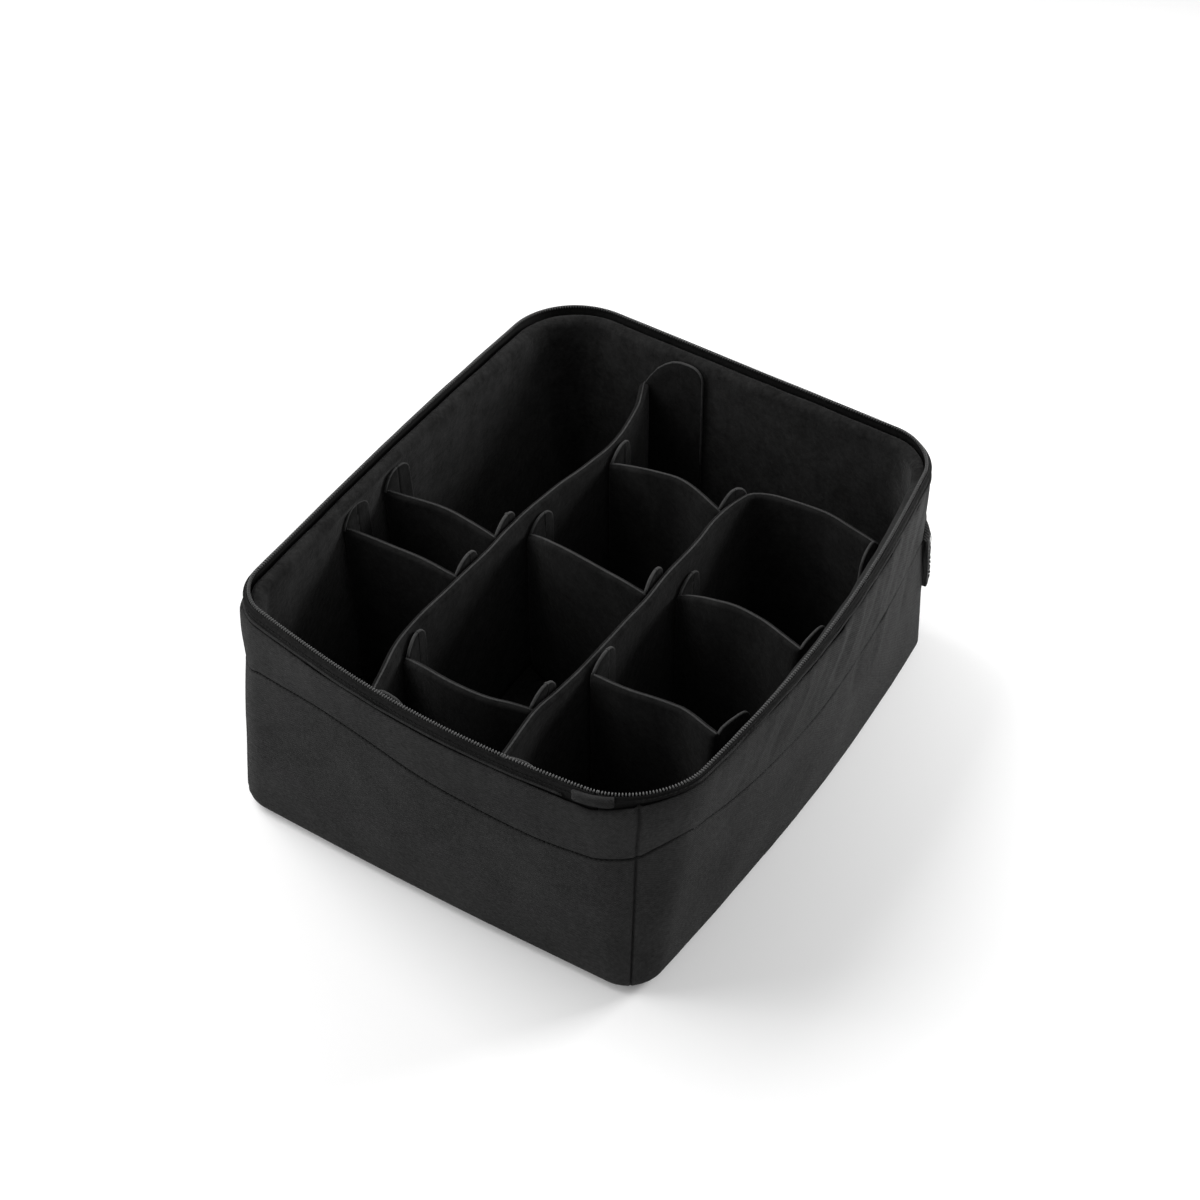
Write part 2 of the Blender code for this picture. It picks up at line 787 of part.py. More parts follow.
class Divider:
    """A padded divider that stands on the floor between two supports."""

    def __init__(self, name, shares, supports, flaps):
        self.name = name
        self.supports = dict(zip(("start", "end"), supports))
        self.droops = {end: share * HEIGHT for end, share in zip(("start", "end"), DROOP_SHARES[name])}
        self.flaps = flaps
        self.path = self.inner_path(smooth_path(plan_points(shares)))

    def inner_path(self, path):
        """The part of the path that stays clear of both supports, at the floor and at the top."""
        middle = path[len(path) // 2]
        kept = list(path)
        for support in self.supports.values():
            for z in (DIVIDER_FOOT, DIVIDER_TOP):
                line = support(z)
                kept = [point for point in kept if self.is_clear(point, middle, line)]
        return kept

    def is_clear(self, point, middle, line):
        """Whether a path point lies on the middle's side of a line and well away from it."""
        if (point - middle).length > 0:
            across = crossing(middle, point - middle, line)
            if across is not None and across[0] <= 1:
                return False
        return distance_to_line(point, line) > DIVIDER_END_MARGIN

    def face_line(self, distance, start_z, end_z):
        """One face of the divider, from its start support to its end support at their own heights."""
        line = moved_line(self.path, distance)
        start = self.meeting(line[0], line[0] - line[1], self.supports["start"](start_z))
        end = self.meeting(line[-1], line[-1] - line[-2], self.supports["end"](end_z))
        return [start, *line, end]

    def droop(self, end, distance):
        """How much lower the top edge is at a distance from one end."""
        left = max(0.0, 1 - distance / DROOP_LENGTH)
        return self.droops[end] * left**2

    def tops(self):
        """The height of the top edge at each point of a face line."""
        inner = [DIVIDER_END_MARGIN + length_before(self.path, index) for index in range(len(self.path))]
        whole = inner[-1] + DIVIDER_END_MARGIN
        places = (0.0, *inner, whole)
        return [
            DIVIDER_TOP - self.droop("start", place) - self.droop("end", whole - place) for place in places
        ]

    def meeting(self, origin, direction, support_line):
        """Where a face stops, a clearance short of its support."""
        direction = direction.normalized()
        reach, index, _ = crossing(origin, direction, support_line)
        edge = (support_line[index + 1] - support_line[index]).normalized()
        return origin + direction * (reach - DIVIDER_CLEARANCE / abs(direction.cross(edge)))

    def rings(self):
        """The divider's outline at each level, both faces in one ring."""
        half = DIVIDER_THICKNESS / 2
        tops = self.tops()
        edges = [top - PANEL_EDGE_SHARES[0][0] * half - DIVIDER_FOOT for top in tops]
        levels = [([DIVIDER_FOOT + share * edge for edge in edges], half) for share in PANEL_LEVEL_SHARES]
        levels += [([top - drop * half for top in tops], keep * half) for drop, keep in PANEL_EDGE_SHARES]
        rings = []
        for heights, reach in levels:
            left = self.face_line(reach, heights[0], heights[-1])
            right = self.face_line(-reach, heights[0], heights[-1])
            points = zip((*left, *reversed(right)), (*heights, *reversed(heights)))
            rings.append([point.to_3d() + Vector((0, 0, z)) for point, z in points])
        return rings

    def origin(self):
        """The point on the floor that the divider is lifted from."""
        return self.path[len(self.path) // 2].to_3d() + Vector((0, 0, DIVIDER_FOOT))

    def flap_place(self, flap, z):
        """Where a flap starts at a height: its support's line, the length along it, and the way it runs."""
        half = DIVIDER_THICKNESS / 2
        line = self.supports[flap.end](z)
        best = None
        for distance in (half, -half):
            face = moved_line(self.path, distance)
            if flap.end == "start":
                face = list(reversed(face))
            direction = (face[-1] - face[-2]).normalized()
            reach, index, share = crossing(face[-1], direction, line)
            edge = line[index + 1] - line[index]
            way = 1 if edge.dot(flap.toward) > 0 else -1
            length = length_before(line, index) + share * edge.length
            if best is None or way * length > way * best[1]:
                step = edge.normalized()
                slant = -way * direction.dot(step) / abs(direction.cross(step))
                best = (line, length, way, direction, slant)
        return best

    def flap_point(self, flap, z, along, depth):
        """A point of a flap: along its support from the divider's face, and out from the support."""
        line, length, way, direction, slant = self.flap_place(flap, z)
        proud = DIVIDER_CLEARANCE + FLAP_THICKNESS
        start = FLAP_HINGE_CLEARANCE + max(slant * proud, slant * DIVIDER_CLEARANCE)
        place = length + way * (start + along)
        ahead = line_point(line, place + FLAP_NORMAL_REACH)
        behind = line_point(line, place - FLAP_NORMAL_REACH)
        edge = (ahead - behind).normalized()
        out = Vector((-edge.y, edge.x))
        if out.dot(direction) > 0:
            out = -out
        return (line_point(line, place) + out * depth).to_3d() + Vector((0, 0, z))

    def flap_hinge(self, flap):
        """Two points on the line that a flap peels about, at its foot and at its top."""
        proud = DIVIDER_CLEARANCE + FLAP_THICKNESS
        return [self.flap_point(flap, z, 0.0, proud) for z in (FLAP_FOOT, self.flap_top(flap))]

    def flap_top(self, flap):
        """The height of the highest part of a flap's top edge."""
        return DIVIDER_TOP - self.droops[flap.end] + flap.rise

    def flap_rings(self, flap):
        """A flap's rings, one for each place along its width."""
        proud = DIVIDER_CLEARANCE + FLAP_THICKNESS
        rings = []
        for along in flap.stations():
            height = self.flap_top(flap) - flap.top_drop(along) - FLAP_FOOT
            levels = [FLAP_FOOT + share * height for share in FLAP_LEVEL_SHARES]
            ring = [self.flap_point(flap, z, along, proud) for z in levels]
            ring += [self.flap_point(flap, z, along, DIVIDER_CLEARANCE) for z in reversed(levels)]
            rings.append(ring)
        return rings

    def build(self):
        """The divider and its flaps, hung on an empty where the divider is lifted from."""
        seat = add_empty(f"{self.name}_seat", self.origin())
        add_object(f"{self.name}_panel", ring_solid(self.rings()), "divider_velour", self.origin(), seat)
        for flap in self.flaps:
            hinge = self.flap_hinge(flap)[0]
            name = f"{self.name}_flap_{flap.end}"
            add_object(name, ring_solid(self.flap_rings(flap)), "flap_velour", hinge, seat)


def length_before(line, index):
    """The length of a line up to one of its points."""
    return sum((b - a).length for a, b in zip(line[:index], line[1 : index + 1]))


def line_point(line, length):
    """The point at a length along a line of points."""
    for start, end in zip(line, line[1:]):
        step = (end - start).length
        if length <= step:
            return start.lerp(end, length / step)
        length -= step
    return line[-1]


def side_support(divider, distance):
    """A support that is one face of a long divider, the same at every height."""
    return lambda z: divider.face_line(distance, z, z)


def all_dividers():
    """The two long dividers, then the seven short ones that are stuck to them and to the walls."""
    half = DIVIDER_THICKNESS / 2
    to_right = Vector((1, 0))
    to_back = Vector((0, 1))
    to_front = Vector((0, -1))
    back_flap = Flap("end", to_right, BACK_FLAP_WIDTH, BACK_FLAP_RISE, BACK_FLAP_SLOPE_LENGTH)
    walls = (cavity_line, cavity_line)
    long_left = Divider(
        "long_left", LONG_LEFT_SHARES, walls, (Flap("start", to_right, WALL_FLAP_WIDTH), back_flap)
    )
    long_right_flaps = (Flap("start", to_right, WALL_FLAP_WIDTH), Flap("end", to_front, WALL_FLAP_WIDTH))
    long_right = Divider("long_right", LONG_RIGHT_SHARES, walls, long_right_flaps)
    left = (cavity_line, side_support(long_left, half))
    middle = (side_support(long_left, -half), side_support(long_right, half))
    right = (side_support(long_right, -half), cavity_line)
    short = (
        ("left_front", LEFT_FRONT_SHARES, left, (WALL_FLAP_WIDTH, PANEL_FLAP_WIDTH)),
        ("left_back", LEFT_BACK_SHARES, left, (WALL_FLAP_WIDTH, PANEL_FLAP_WIDTH)),
        ("middle_front", MIDDLE_FRONT_SHARES, middle, (PANEL_FLAP_WIDTH, PANEL_FLAP_WIDTH)),
        ("middle_centre", MIDDLE_CENTRE_SHARES, middle, (PANEL_FLAP_WIDTH, PANEL_FLAP_WIDTH)),
        ("middle_back", MIDDLE_BACK_SHARES, middle, (PANEL_FLAP_WIDTH, PANEL_FLAP_WIDTH)),
        ("right_front", RIGHT_FRONT_SHARES, right, (PANEL_FLAP_WIDTH, WALL_FLAP_WIDTH)),
        ("right_back", RIGHT_BACK_SHARES, right, (PANEL_FLAP_WIDTH, WALL_FLAP_WIDTH)),
    )
    dividers = [long_left, long_right]
    for name, shares, supports, widths in short:
        flaps = [Flap(end, to_back, width) for end, width in zip(("start", "end"), widths)]
        dividers.append(Divider(name, shares, supports, flaps))
    return dividers


def main():
    """Build the whole insert."""
    clear_scene()
    build_floor()
    build_walls()
    build_zip()
    build_handle()
    for divider in all_dividers():
        divider.build()


main()
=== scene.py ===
"""Dressed model of an open padded camera bag insert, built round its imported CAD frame.

Metres, +Z up. The insert stands on z = 0. X runs from the left wall to the right wall and Y from the front
wall to the back wall. The outline of the case is counted in columns, anticlockwise from the middle of the
left front corner, and an inset is a distance inwards from that outline.
"""

import logging
import math
from dataclasses import dataclass, field
from enum import Enum
from typing import Optional, Sequence

import bpy
import numpy as np
from mathutils import Matrix, Vector, noise


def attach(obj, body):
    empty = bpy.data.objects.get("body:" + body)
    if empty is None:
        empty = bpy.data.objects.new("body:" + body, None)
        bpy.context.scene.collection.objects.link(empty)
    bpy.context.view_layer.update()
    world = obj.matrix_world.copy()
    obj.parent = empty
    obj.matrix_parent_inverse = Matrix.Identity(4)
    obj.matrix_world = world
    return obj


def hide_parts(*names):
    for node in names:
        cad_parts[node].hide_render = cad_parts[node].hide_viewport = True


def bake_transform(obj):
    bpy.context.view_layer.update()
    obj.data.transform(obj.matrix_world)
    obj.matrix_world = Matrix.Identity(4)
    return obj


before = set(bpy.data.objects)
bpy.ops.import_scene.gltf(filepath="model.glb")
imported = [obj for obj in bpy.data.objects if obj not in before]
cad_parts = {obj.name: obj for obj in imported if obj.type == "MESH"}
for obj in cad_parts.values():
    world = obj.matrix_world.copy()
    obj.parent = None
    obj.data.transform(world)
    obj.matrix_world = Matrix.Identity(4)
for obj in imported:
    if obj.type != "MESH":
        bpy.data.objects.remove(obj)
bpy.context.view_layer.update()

LOG = logging.getLogger("camera_bag_insert")
MAP_NAME = "Cloth"

HEIGHT = 0.156
SIDE_COLUMNS = 16
ARC_COLUMNS = 4
RUN_COLUMNS = 8
ALL_COLUMNS = 4 * SIDE_COLUMNS
CORNER_SIGNS = ((-1, -1), (1, -1), (1, 1), (-1, 1))
MILLIMETRE = 0.001
LEVEL = (0.0, 0.0)

CORNER_SEAMS = (0, 15.3, 32, 48, 64)
NEAR_SEAM = (-0.0045, -0.003, -0.002, -0.0013, -0.0007, 0.0, 0.0007, 0.0013, 0.002, 0.003, 0.0045)
# Steps for each column along a measured outline, and how finely and how far the seam's height is smoothed
DENSE_STEPS = 12
SEAM_SAMPLES = 241
SEAM_SMOOTHING = 3
THREAD_WIDTH = 0.0005


class Side(Enum):
    """The four walls, in the order in which the outline passes them."""

    FRONT = 0
    RIGHT = 1
    BACK = 2
    LEFT = 3


class Slot(Enum):
    """The record's material slots."""

    NYLON = "outer_nylon"
    TAPE = "zip_tape"
    TEETH = "zip_teeth"
    WEBBING = "webbing"
    LINING = "lining_velour"
    FOAM = "foam"
    BOARD = "base_board"
    DIVIDER = "divider_velour"
    FLAP = "flap_velour"


class Facing(Enum):
    """Which way the faces of a grid look: as its columns and rows turn, or the other way."""

    ALONG = 1
    AGAINST = -1


# Geometry of the case


@dataclass(frozen=True)
class Outline:
    """A rounded rectangle whose sides bow outwards, racked and shifted, seen from above."""

    half_x: float
    half_y: float
    corners: tuple
    bows: tuple
    rack: tuple = LEVEL
    shift: tuple = LEVEL

    def corner(self, index: int, degrees: float) -> tuple:
        """A point on the round corner with this index, at an angle from +X."""
        index = index % len(CORNER_SIGNS)
        sign_x, sign_y = CORNER_SIGNS[index]
        radius = self.corners[index]
        angle = math.radians(degrees)
        x = sign_x * (self.half_x - radius) + radius * math.cos(angle)
        y = sign_y * (self.half_y - radius) + radius * math.sin(angle)
        return x, y

    def rounded(self, column: float) -> tuple:
        """The plain rounded rectangle at a column."""
        side, place = divmod(column % ALL_COLUMNS, SIDE_COLUMNS)
        side = int(side)
        square = 270 + 90 * side
        if place < ARC_COLUMNS:
            return self.corner(side, square - 45 + 45 * place / ARC_COLUMNS)
        if place > ARC_COLUMNS + RUN_COLUMNS:
            past = place - ARC_COLUMNS - RUN_COLUMNS
            return self.corner(side + 1, square + 45 * past / ARC_COLUMNS)
        start_x, start_y = self.corner(side, square)
        end_x, end_y = self.corner(side + 1, square)
        share = (place - ARC_COLUMNS) / RUN_COLUMNS
        return start_x + share * (end_x - start_x), start_y + share * (end_y - start_y)

    def point(self, column: float) -> np.ndarray:
        """The finished outline at a column."""
        x, y = self.rounded(column)
        front, right, back, left = self.bows
        share_x = x / self.half_x
        share_y = y / self.half_y
        bow_x = (right if x > 0 else left) * share_x * abs(share_x)
        bow_y = (back if y > 0 else front) * share_y * abs(share_y)
        bowed_x = x + bow_x * math.cos(math.pi * share_y / 2)
        bowed_y = y + bow_y * math.cos(math.pi * share_x / 2)
        rack_x, rack_y = self.rack
        shift_x, shift_y = self.shift
        return np.array((bowed_x + rack_x * bowed_y + shift_x, bowed_y + rack_y * bowed_x + shift_y))


RIM = Outline(
    half_x=0.1439,
    half_y=0.1744,
    corners=(0.0212, 0.0418, 0.0297, 0.0508),
    bows=(0.01585, 0.0147, 0.0, 0.00365),
    rack=(-0.05, -0.06),
    shift=(-0.0002, 0.0046),
)
BASE = Outline(0.1413, 0.1776, (0.020,) * 4, (0.002, 0.007, 0.002, 0.007))

# Places round the case as shares of all columns, each with the seam's height as a share of the case's height
SEAM_SHARES = (
    (0.0, 0.692), (0.039, 0.690), (0.067, 0.712), (0.088, 0.735), (0.111, 0.718), (0.131, 0.683),
    (0.151, 0.667), (0.171, 0.657), (0.186, 0.672), (0.210, 0.686), (0.232, 0.694), (0.246, 0.703),
    (0.256, 0.723), (0.270, 0.738), (0.284, 0.746), (0.300, 0.743), (0.312, 0.733), (0.319, 0.706),
    (0.327, 0.672), (0.340, 0.638), (0.353, 0.605), (0.368, 0.582), (0.383, 0.588), (0.400, 0.592),
    (0.417, 0.616), (0.434, 0.628), (0.460, 0.640), (0.760, 0.640), (0.880, 0.665), (1.0, 0.692),
)
# Columns, each with the depth in millimetres of the band's upper edge under the case's top
LIP_DROPS = (
    (0.0, 11.7), (12.6, 11.7), (13.9, 9.0), (15.2, 6.6), (17.0, 5.3), (20.0, 5.3), (21.0, 6.0),
    (22.0, 7.2), (23.0, 8.6), (24.5, 10.4), (26.5, 11.4), (28.0, 11.7), (64.0, 11.7),
)


def lip_drops(columns: np.ndarray) -> np.ndarray:
    """How far under the top the band's upper edge lies at each column."""
    places, drops = np.array(LIP_DROPS).T
    return np.interp(columns % ALL_COLUMNS, places, drops) * MILLIMETRE


def seam_heights(columns: np.ndarray) -> np.ndarray:
    """The height of the seam under the rim band at each column."""
    places, shares = np.array(SEAM_SHARES).T
    samples = np.linspace(0, 1, SEAM_SAMPLES)
    raw = np.interp(samples, places, shares)
    reach = SEAM_SMOOTHING
    ring = np.concatenate([raw[-reach - 1 : -1], raw, raw[1 : reach + 1]])
    kernel = np.hanning(2 * reach + 1)
    smooth = np.convolve(ring, kernel / kernel.sum(), mode="valid")
    return HEIGHT * np.interp(columns % ALL_COLUMNS / ALL_COLUMNS, samples, smooth)


def lengths_along(points: np.ndarray) -> np.ndarray:
    """How far along a line each of its points lies."""
    return np.concatenate([[0.0], np.cumsum(np.linalg.norm(np.diff(points, axis=0), axis=1))])


def at_places(places: np.ndarray, lengths: np.ndarray, values: np.ndarray) -> np.ndarray:
    """Rows of values at places along a line, from the rows at its own lengths."""
    return np.stack([np.interp(places, lengths, column) for column in values.T], axis=1)


def unit(vectors: np.ndarray) -> np.ndarray:
    """Vectors of length 1 with the same directions."""
    return vectors / np.linalg.norm(vectors, axis=-1, keepdims=True)


class CaseForm:
    """The swept form of the case at a set of columns."""

    STEP = 0.01

    def __init__(self, columns: np.ndarray) -> None:
        self.columns = columns
        self.base = np.array([BASE.point(c) for c in columns])
        self.rim = np.array([RIM.point(c) for c in columns])
        self.base_way = self.slope(BASE)
        self.rim_way = self.slope(RIM)
        self.lengths = lengths_along(self.rim)

    def slope(self, outline: Outline) -> np.ndarray:
        """The direction of an outline at each column."""
        ahead = np.array([outline.point(c + self.STEP) for c in self.columns])
        behind = np.array([outline.point(c - self.STEP) for c in self.columns])
        return ahead - behind

    def points(self, insets: np.ndarray, heights: np.ndarray) -> np.ndarray:
        """The points at insets and heights, both given as columns by rows."""
        share = (heights / HEIGHT)[..., None]
        place = self.base[:, None] * (1 - share) + self.rim[:, None] * share
        way = unit(self.base_way[:, None] * (1 - share) + self.rim_way[:, None] * share)
        inward = np.stack([-way[..., 1], way[..., 0]], axis=2)
        flat = place + insets[..., None] * inward
        return np.concatenate([flat, heights[..., None]], axis=2)


def even_columns(
    spacing: float, start: float = 0.0, end: float = ALL_COLUMNS, finer: Sequence = ()
) -> np.ndarray:
    """Columns at even distances along the rim, with more of them at some places.

    Args:
        spacing: Distance between two columns, in metres.
        start: First column.
        end: Last column.
        finer: Columns round which extra ones stand at the offsets of NEAR_SEAM.

    Returns:
        The columns in rising order, the first and the last included.
    """
    dense = np.linspace(start, end, int((end - start) * DENSE_STEPS) + 1)
    lengths = lengths_along(np.array([RIM.point(c) for c in dense]))
    whole = lengths[-1]
    places = np.linspace(0, whole, max(2, round(whole / spacing)) + 1)
    for column in finer:
        middle = np.interp(column, dense, lengths)
        places = places[np.abs(places - middle) > NEAR_SEAM[-1] + spacing / 3]
        places = np.concatenate([places, middle + np.array(NEAR_SEAM)])
    places = np.unique(places[(places >= 0) & (places <= whole)])
    places = np.unique(np.concatenate([places, [0.0, whole]]))
    return np.interp(places, lengths, dense)


def ripple(places: np.ndarray, size: Sequence, seed: float) -> np.ndarray:
    """Soft noise between about -1 and 1 at places, stretched to a size along each axis."""
    scaled = places / np.array(size) + seed
    flat = scaled.reshape(-1, 3)
    values = [noise.noise(Vector(row)) for row in flat]
    return np.array(values).reshape(places.shape[:-1])


def bump(distance: np.ndarray, width: float) -> np.ndarray:
    """A smooth hill that is 1 in its middle and fades over a width."""
    return np.exp(-((distance / width) ** 2))


def rise(value: np.ndarray, start: float, end: float) -> np.ndarray:
    """A smooth step from 0 at the start to 1 at the end."""
    share = np.clip((value - start) / (end - start), 0, 1)
    return share * share * (3 - 2 * share)


# Mesh making


def link_mesh(name: str, vertices: np.ndarray, faces: Sequence, smooth: bool = True) -> bpy.types.Object:
    """A new object from vertices and faces."""
    mesh = bpy.data.meshes.new(name)
    mesh.from_pydata([tuple(v) for v in vertices], [], [tuple(int(i) for i in f) for f in faces])
    mesh.update()
    if smooth:
        mesh.shade_smooth()
    obj = bpy.data.objects.new(name, mesh)
    bpy.context.collection.objects.link(obj)
    return obj


def grid_object(
    name: str,
    points: np.ndarray,
    facing: Facing = Facing.ALONG,
    ring_along: bool = False,
    ring_across: bool = False,
    close_ends: bool = False,
    centre: Optional[np.ndarray] = None,
) -> bpy.types.Object:
    """A mesh through a grid of points, with a map in metres that follows the cloth.

    Args:
        name: Name of the piece.
        points: Points as columns by rows by 3.
        facing: Which way the faces look.
        ring_along: Whether the last column joins the first.
        ring_across: Whether the last row joins the first.
        close_ends: Whether the first and the last column are filled, on a grid that is a ring across.
        centre: A point that closes the first row with a fan, if given.

    Returns:
        The object.
    """
    columns, rows = points.shape[:2]
    index = np.arange(columns * rows).reshape(columns, rows)
    along = np.arange(columns if ring_along else columns - 1)
    across = np.arange(rows if ring_across else rows - 1)
    ahead, above = (along + 1) % columns, (across + 1) % rows
    corners = ((along, across), (ahead, across), (ahead, above), (along, above))
    quads = np.stack([index[a][:, b] for a, b in corners], axis=2).reshape(-1, 4)
    u = np.concatenate([np.zeros((1, rows)), np.cumsum(gaps(points, 0, ring_along), axis=0)])
    v = np.concatenate([np.zeros((columns, 1)), np.cumsum(gaps(points, 1, ring_across), axis=1)], axis=1)
    u = np.broadcast_to(u.mean(axis=1, keepdims=True), u.shape)
    near, far = u[along][:, across], u[along + 1][:, across]
    low, high = v[along][:, across], v[along][:, across + 1]
    corner_u = np.stack([near, far, far, near], axis=2).reshape(-1, 4)
    corner_v = np.stack([low, low, high, high], axis=2).reshape(-1, 4)
    if facing is Facing.AGAINST:
        quads, corner_u, corner_v = quads[:, ::-1], corner_u[:, ::-1], corner_v[:, ::-1]
    faces = [list(quad) for quad in quads]
    maps = [np.stack([a, b], axis=1) for a, b in zip(corner_u, corner_v)]
    vertices = points.reshape(-1, 3)
    caps = []
    if centre is not None:
        vertices = np.concatenate([vertices, [centre]])
        for column in along:
            caps.append([index[column, 0], columns * rows, index[(column + 1) % columns, 0]])
    if close_ends:
        caps += [list(index[0]), list(index[-1][::-1])]
    if facing is Facing.AGAINST:
        caps = [cap[::-1] for cap in caps]
    faces += caps
    maps += [vertices[cap][:, :2] for cap in caps]
    obj = link_mesh(name, vertices, faces)
    layer = obj.data.uv_layers.new(name=MAP_NAME)
    layer.uv.foreach_set("vector", np.concatenate(maps).astype(np.float32).ravel())
    return obj


def gaps(points: np.ndarray, axis: int, ring: bool) -> np.ndarray:
    """Distances between neighbours along an axis of a grid."""
    if ring:
        first = np.take(points, [0], axis=axis)
        points = np.concatenate([points, first], axis=axis)
    return np.linalg.norm(np.diff(points, axis=axis), axis=2)


def thicken(obj: bpy.types.Object, thickness: float) -> None:
    """Give a sheet its thickness, away from the side that it faces."""
    modifier = obj.modifiers.new("Thickness", "SOLIDIFY")
    modifier.thickness = thickness
    modifier.offset = -1
    modifier.use_even_offset = False


def copies(name: str, form: np.ndarray, faces: Sequence, frames: np.ndarray) -> bpy.types.Object:
    """Many copies of one small form in one mesh.

    Args:
        name: Name of the piece.
        form: Vertices of one copy in its own axes.
        faces: Its faces.
        frames: One 3 by 4 matrix for each copy.

    Returns:
        The object.
    """
    turned = np.einsum("nij,vj->nvi", frames[:, :, :3], form) + frames[:, None, :, 3]
    count = len(form)
    all_faces = [[corner + count * copy for corner in face] for copy in range(len(frames)) for face in faces]
    return link_mesh(name, turned.reshape(-1, 3), all_faces)


def bead(length: float, width: float, height: float) -> tuple:
    """A small rounded bar along its first axis, as vertices and faces, for teeth and stitches."""
    sections = ((-0.5, 0.45), (-0.32, 0.9), (0.0, 1.0), (0.32, 0.9), (0.5, 0.45))
    around = 6
    vertices = []
    for place, size in sections:
        for step in range(around):
            angle = 2 * math.pi * (step + 0.5) / around
            y = 0.5 * width * size * math.cos(angle)
            z = 0.5 * height * size * math.sin(angle)
            vertices.append((place * length, y, z))
    faces = []
    for ring in range(len(sections) - 1):
        for step in range(around):
            following = (step + 1) % around
            low = ring * around
            high = low + around
            faces.append((low + step, low + following, high + following, high + step))
    faces.append(tuple(range(around))[::-1])
    faces.append(tuple(range((len(sections) - 1) * around, len(sections) * around)))
    return np.array(vertices), faces


def frames_along(points: np.ndarray, ups: np.ndarray, ways: np.ndarray) -> np.ndarray:
    """One matrix for each point, with its first axis along a way and its third near an up."""
    ways = unit(ways)
    sides = unit(np.cross(ups, ways))
    tops = np.cross(ways, sides)
    return np.stack([ways, sides, tops, points], axis=2)


def stitches(
    name: str, line: np.ndarray, ups: np.ndarray, pitch: float = 0.003, share: float = 0.7
) -> bpy.types.Object:
    """A row of thread stitches along a line.

    Args:
        name: Name of the piece.
        line: Points of the line.
        ups: The cloth's outward direction at each point.
        pitch: Distance from one stitch to the next, in metres.
        share: How much of the pitch the thread shows.

    Returns:
        The object.
    """
    lengths = lengths_along(line)
    count = max(1, int(lengths[-1] / pitch))
    places = (np.arange(count) + 0.5) * lengths[-1] / count
    middles = at_places(places, lengths, line)
    ahead = at_places(places + pitch / 3, lengths, line)
    behind = at_places(places - pitch / 3, lengths, line)
    form, faces = bead(pitch * share, THREAD_WIDTH, THREAD_WIDTH)
    return copies(name, form, faces, frames_along(middles, at_places(places, lengths, ups), ahead - behind))


def smooth_line(points: np.ndarray, spacing: float) -> np.ndarray:
    """A smooth curve through points, cut at an even spacing."""
    knots = lengths_along(points)
    slopes = np.gradient(points, knots, axis=0)
    dense = np.linspace(0, knots[-1], max(8, int(knots[-1] / spacing) * 4))
    index = np.clip(np.searchsorted(knots, dense, side="right") - 1, 0, len(knots) - 2)
    span = (knots[index + 1] - knots[index])[:, None]
    t = ((dense - knots[index]) / span[:, 0])[:, None]
    curve = (
        (2 * t**3 - 3 * t**2 + 1) * points[index]
        + (t**3 - 2 * t**2 + t) * span * slopes[index]
        + (3 * t**2 - 2 * t**3) * points[index + 1]
        + (t**3 - t**2) * span * slopes[index + 1]
    )
    lengths = lengths_along(curve)
    even = np.linspace(0, lengths[-1], max(3, round(lengths[-1] / spacing) + 1))
    return at_places(even, lengths, curve)


# Shader building


class Graph:
    """A small helper round a node tree."""

    def __init__(self, tree: bpy.types.NodeTree) -> None:
        self.tree = tree

    def node(self, kind: str, values: Optional[dict] = None, **settings: object) -> bpy.types.Node:
        """A node with its settings, and numbers or links for its inputs."""
        made = self.tree.nodes.new(kind)
        for key, value in settings.items():
            setattr(made, key, value)
        self.fill(made, values or {})
        return made

    def put(self, value: object, socket: bpy.types.NodeSocket) -> None:
        """Lead a link to a socket, or set its number or colour."""
        if isinstance(value, bpy.types.NodeSocket):
            self.tree.links.new(value, socket)
        else:
            socket.default_value = value

    def fill(self, node: bpy.types.Node, values: dict) -> None:
        """Put values in a node's inputs."""
        for key, value in values.items():
            self.put(value, node.inputs[key])

    def place(self) -> bpy.types.NodeSocket:
        """The place on the object, in metres."""
        return self.node("ShaderNodeTexCoord").outputs["Object"]

    def math(self, operation: str, *values: object) -> bpy.types.NodeSocket:
        """The result of a Math node."""
        return self.node("ShaderNodeMath", dict(enumerate(values)), operation=operation).outputs[0]

    def weighed(self, first: object, share: float, second: object) -> bpy.types.NodeSocket:
        """A share of the first value and the rest of the second, added."""
        return self.math("ADD", self.math("MULTIPLY", first, share), self.math("MULTIPLY", second, 1 - share))

    def range(self, value: object, *limits: float) -> bpy.types.NodeSocket:
        """A value moved from the range of the first two limits to that of the last two, and held there."""
        return self.node("ShaderNodeMapRange", dict(enumerate((value, *limits)))).outputs[0]

    def noise(
        self, vector: object, scale: object, detail: float = 2.0, rough: float = 0.5
    ) -> bpy.types.NodeSocket:
        """A noise texture's value."""
        values = {"Vector": vector, "Scale": scale, "Detail": detail, "Roughness": rough}
        return self.node("ShaderNodeTexNoise", values).outputs["Fac"]

    def mix(self, factor: object, first: object, second: object) -> bpy.types.NodeSocket:
        """One colour mixed with another."""
        made = self.node("ShaderNodeMix", data_type="RGBA")
        for key, value in (("Factor_Float", factor), ("A_Color", first), ("B_Color", second)):
            self.put(value, next(s for s in made.inputs if s.identifier == key))
        return next(s for s in made.outputs if s.identifier == "Result_Color")


def new_group(name: str, inputs: Sequence, outputs: Sequence) -> tuple:
    """An empty node group with its sockets.

    Args:
        name: Name of the group.
        inputs: Name, socket type and default of each input.
        outputs: Name and socket type of each output.

    Returns:
        The group, its Graph, its input node and its output node.
    """
    group = bpy.data.node_groups.new(name, "ShaderNodeTree")
    for title, kind, value in inputs:
        socket = group.interface.new_socket(name=title, in_out="INPUT", socket_type=kind)
        if value is not None:
            socket.default_value = value
    for title, kind in outputs:
        group.interface.new_socket(name=title, in_out="OUTPUT", socket_type=kind)
    graph = Graph(group)
    return group, graph, graph.node("NodeGroupInput"), graph.node("NodeGroupOutput")


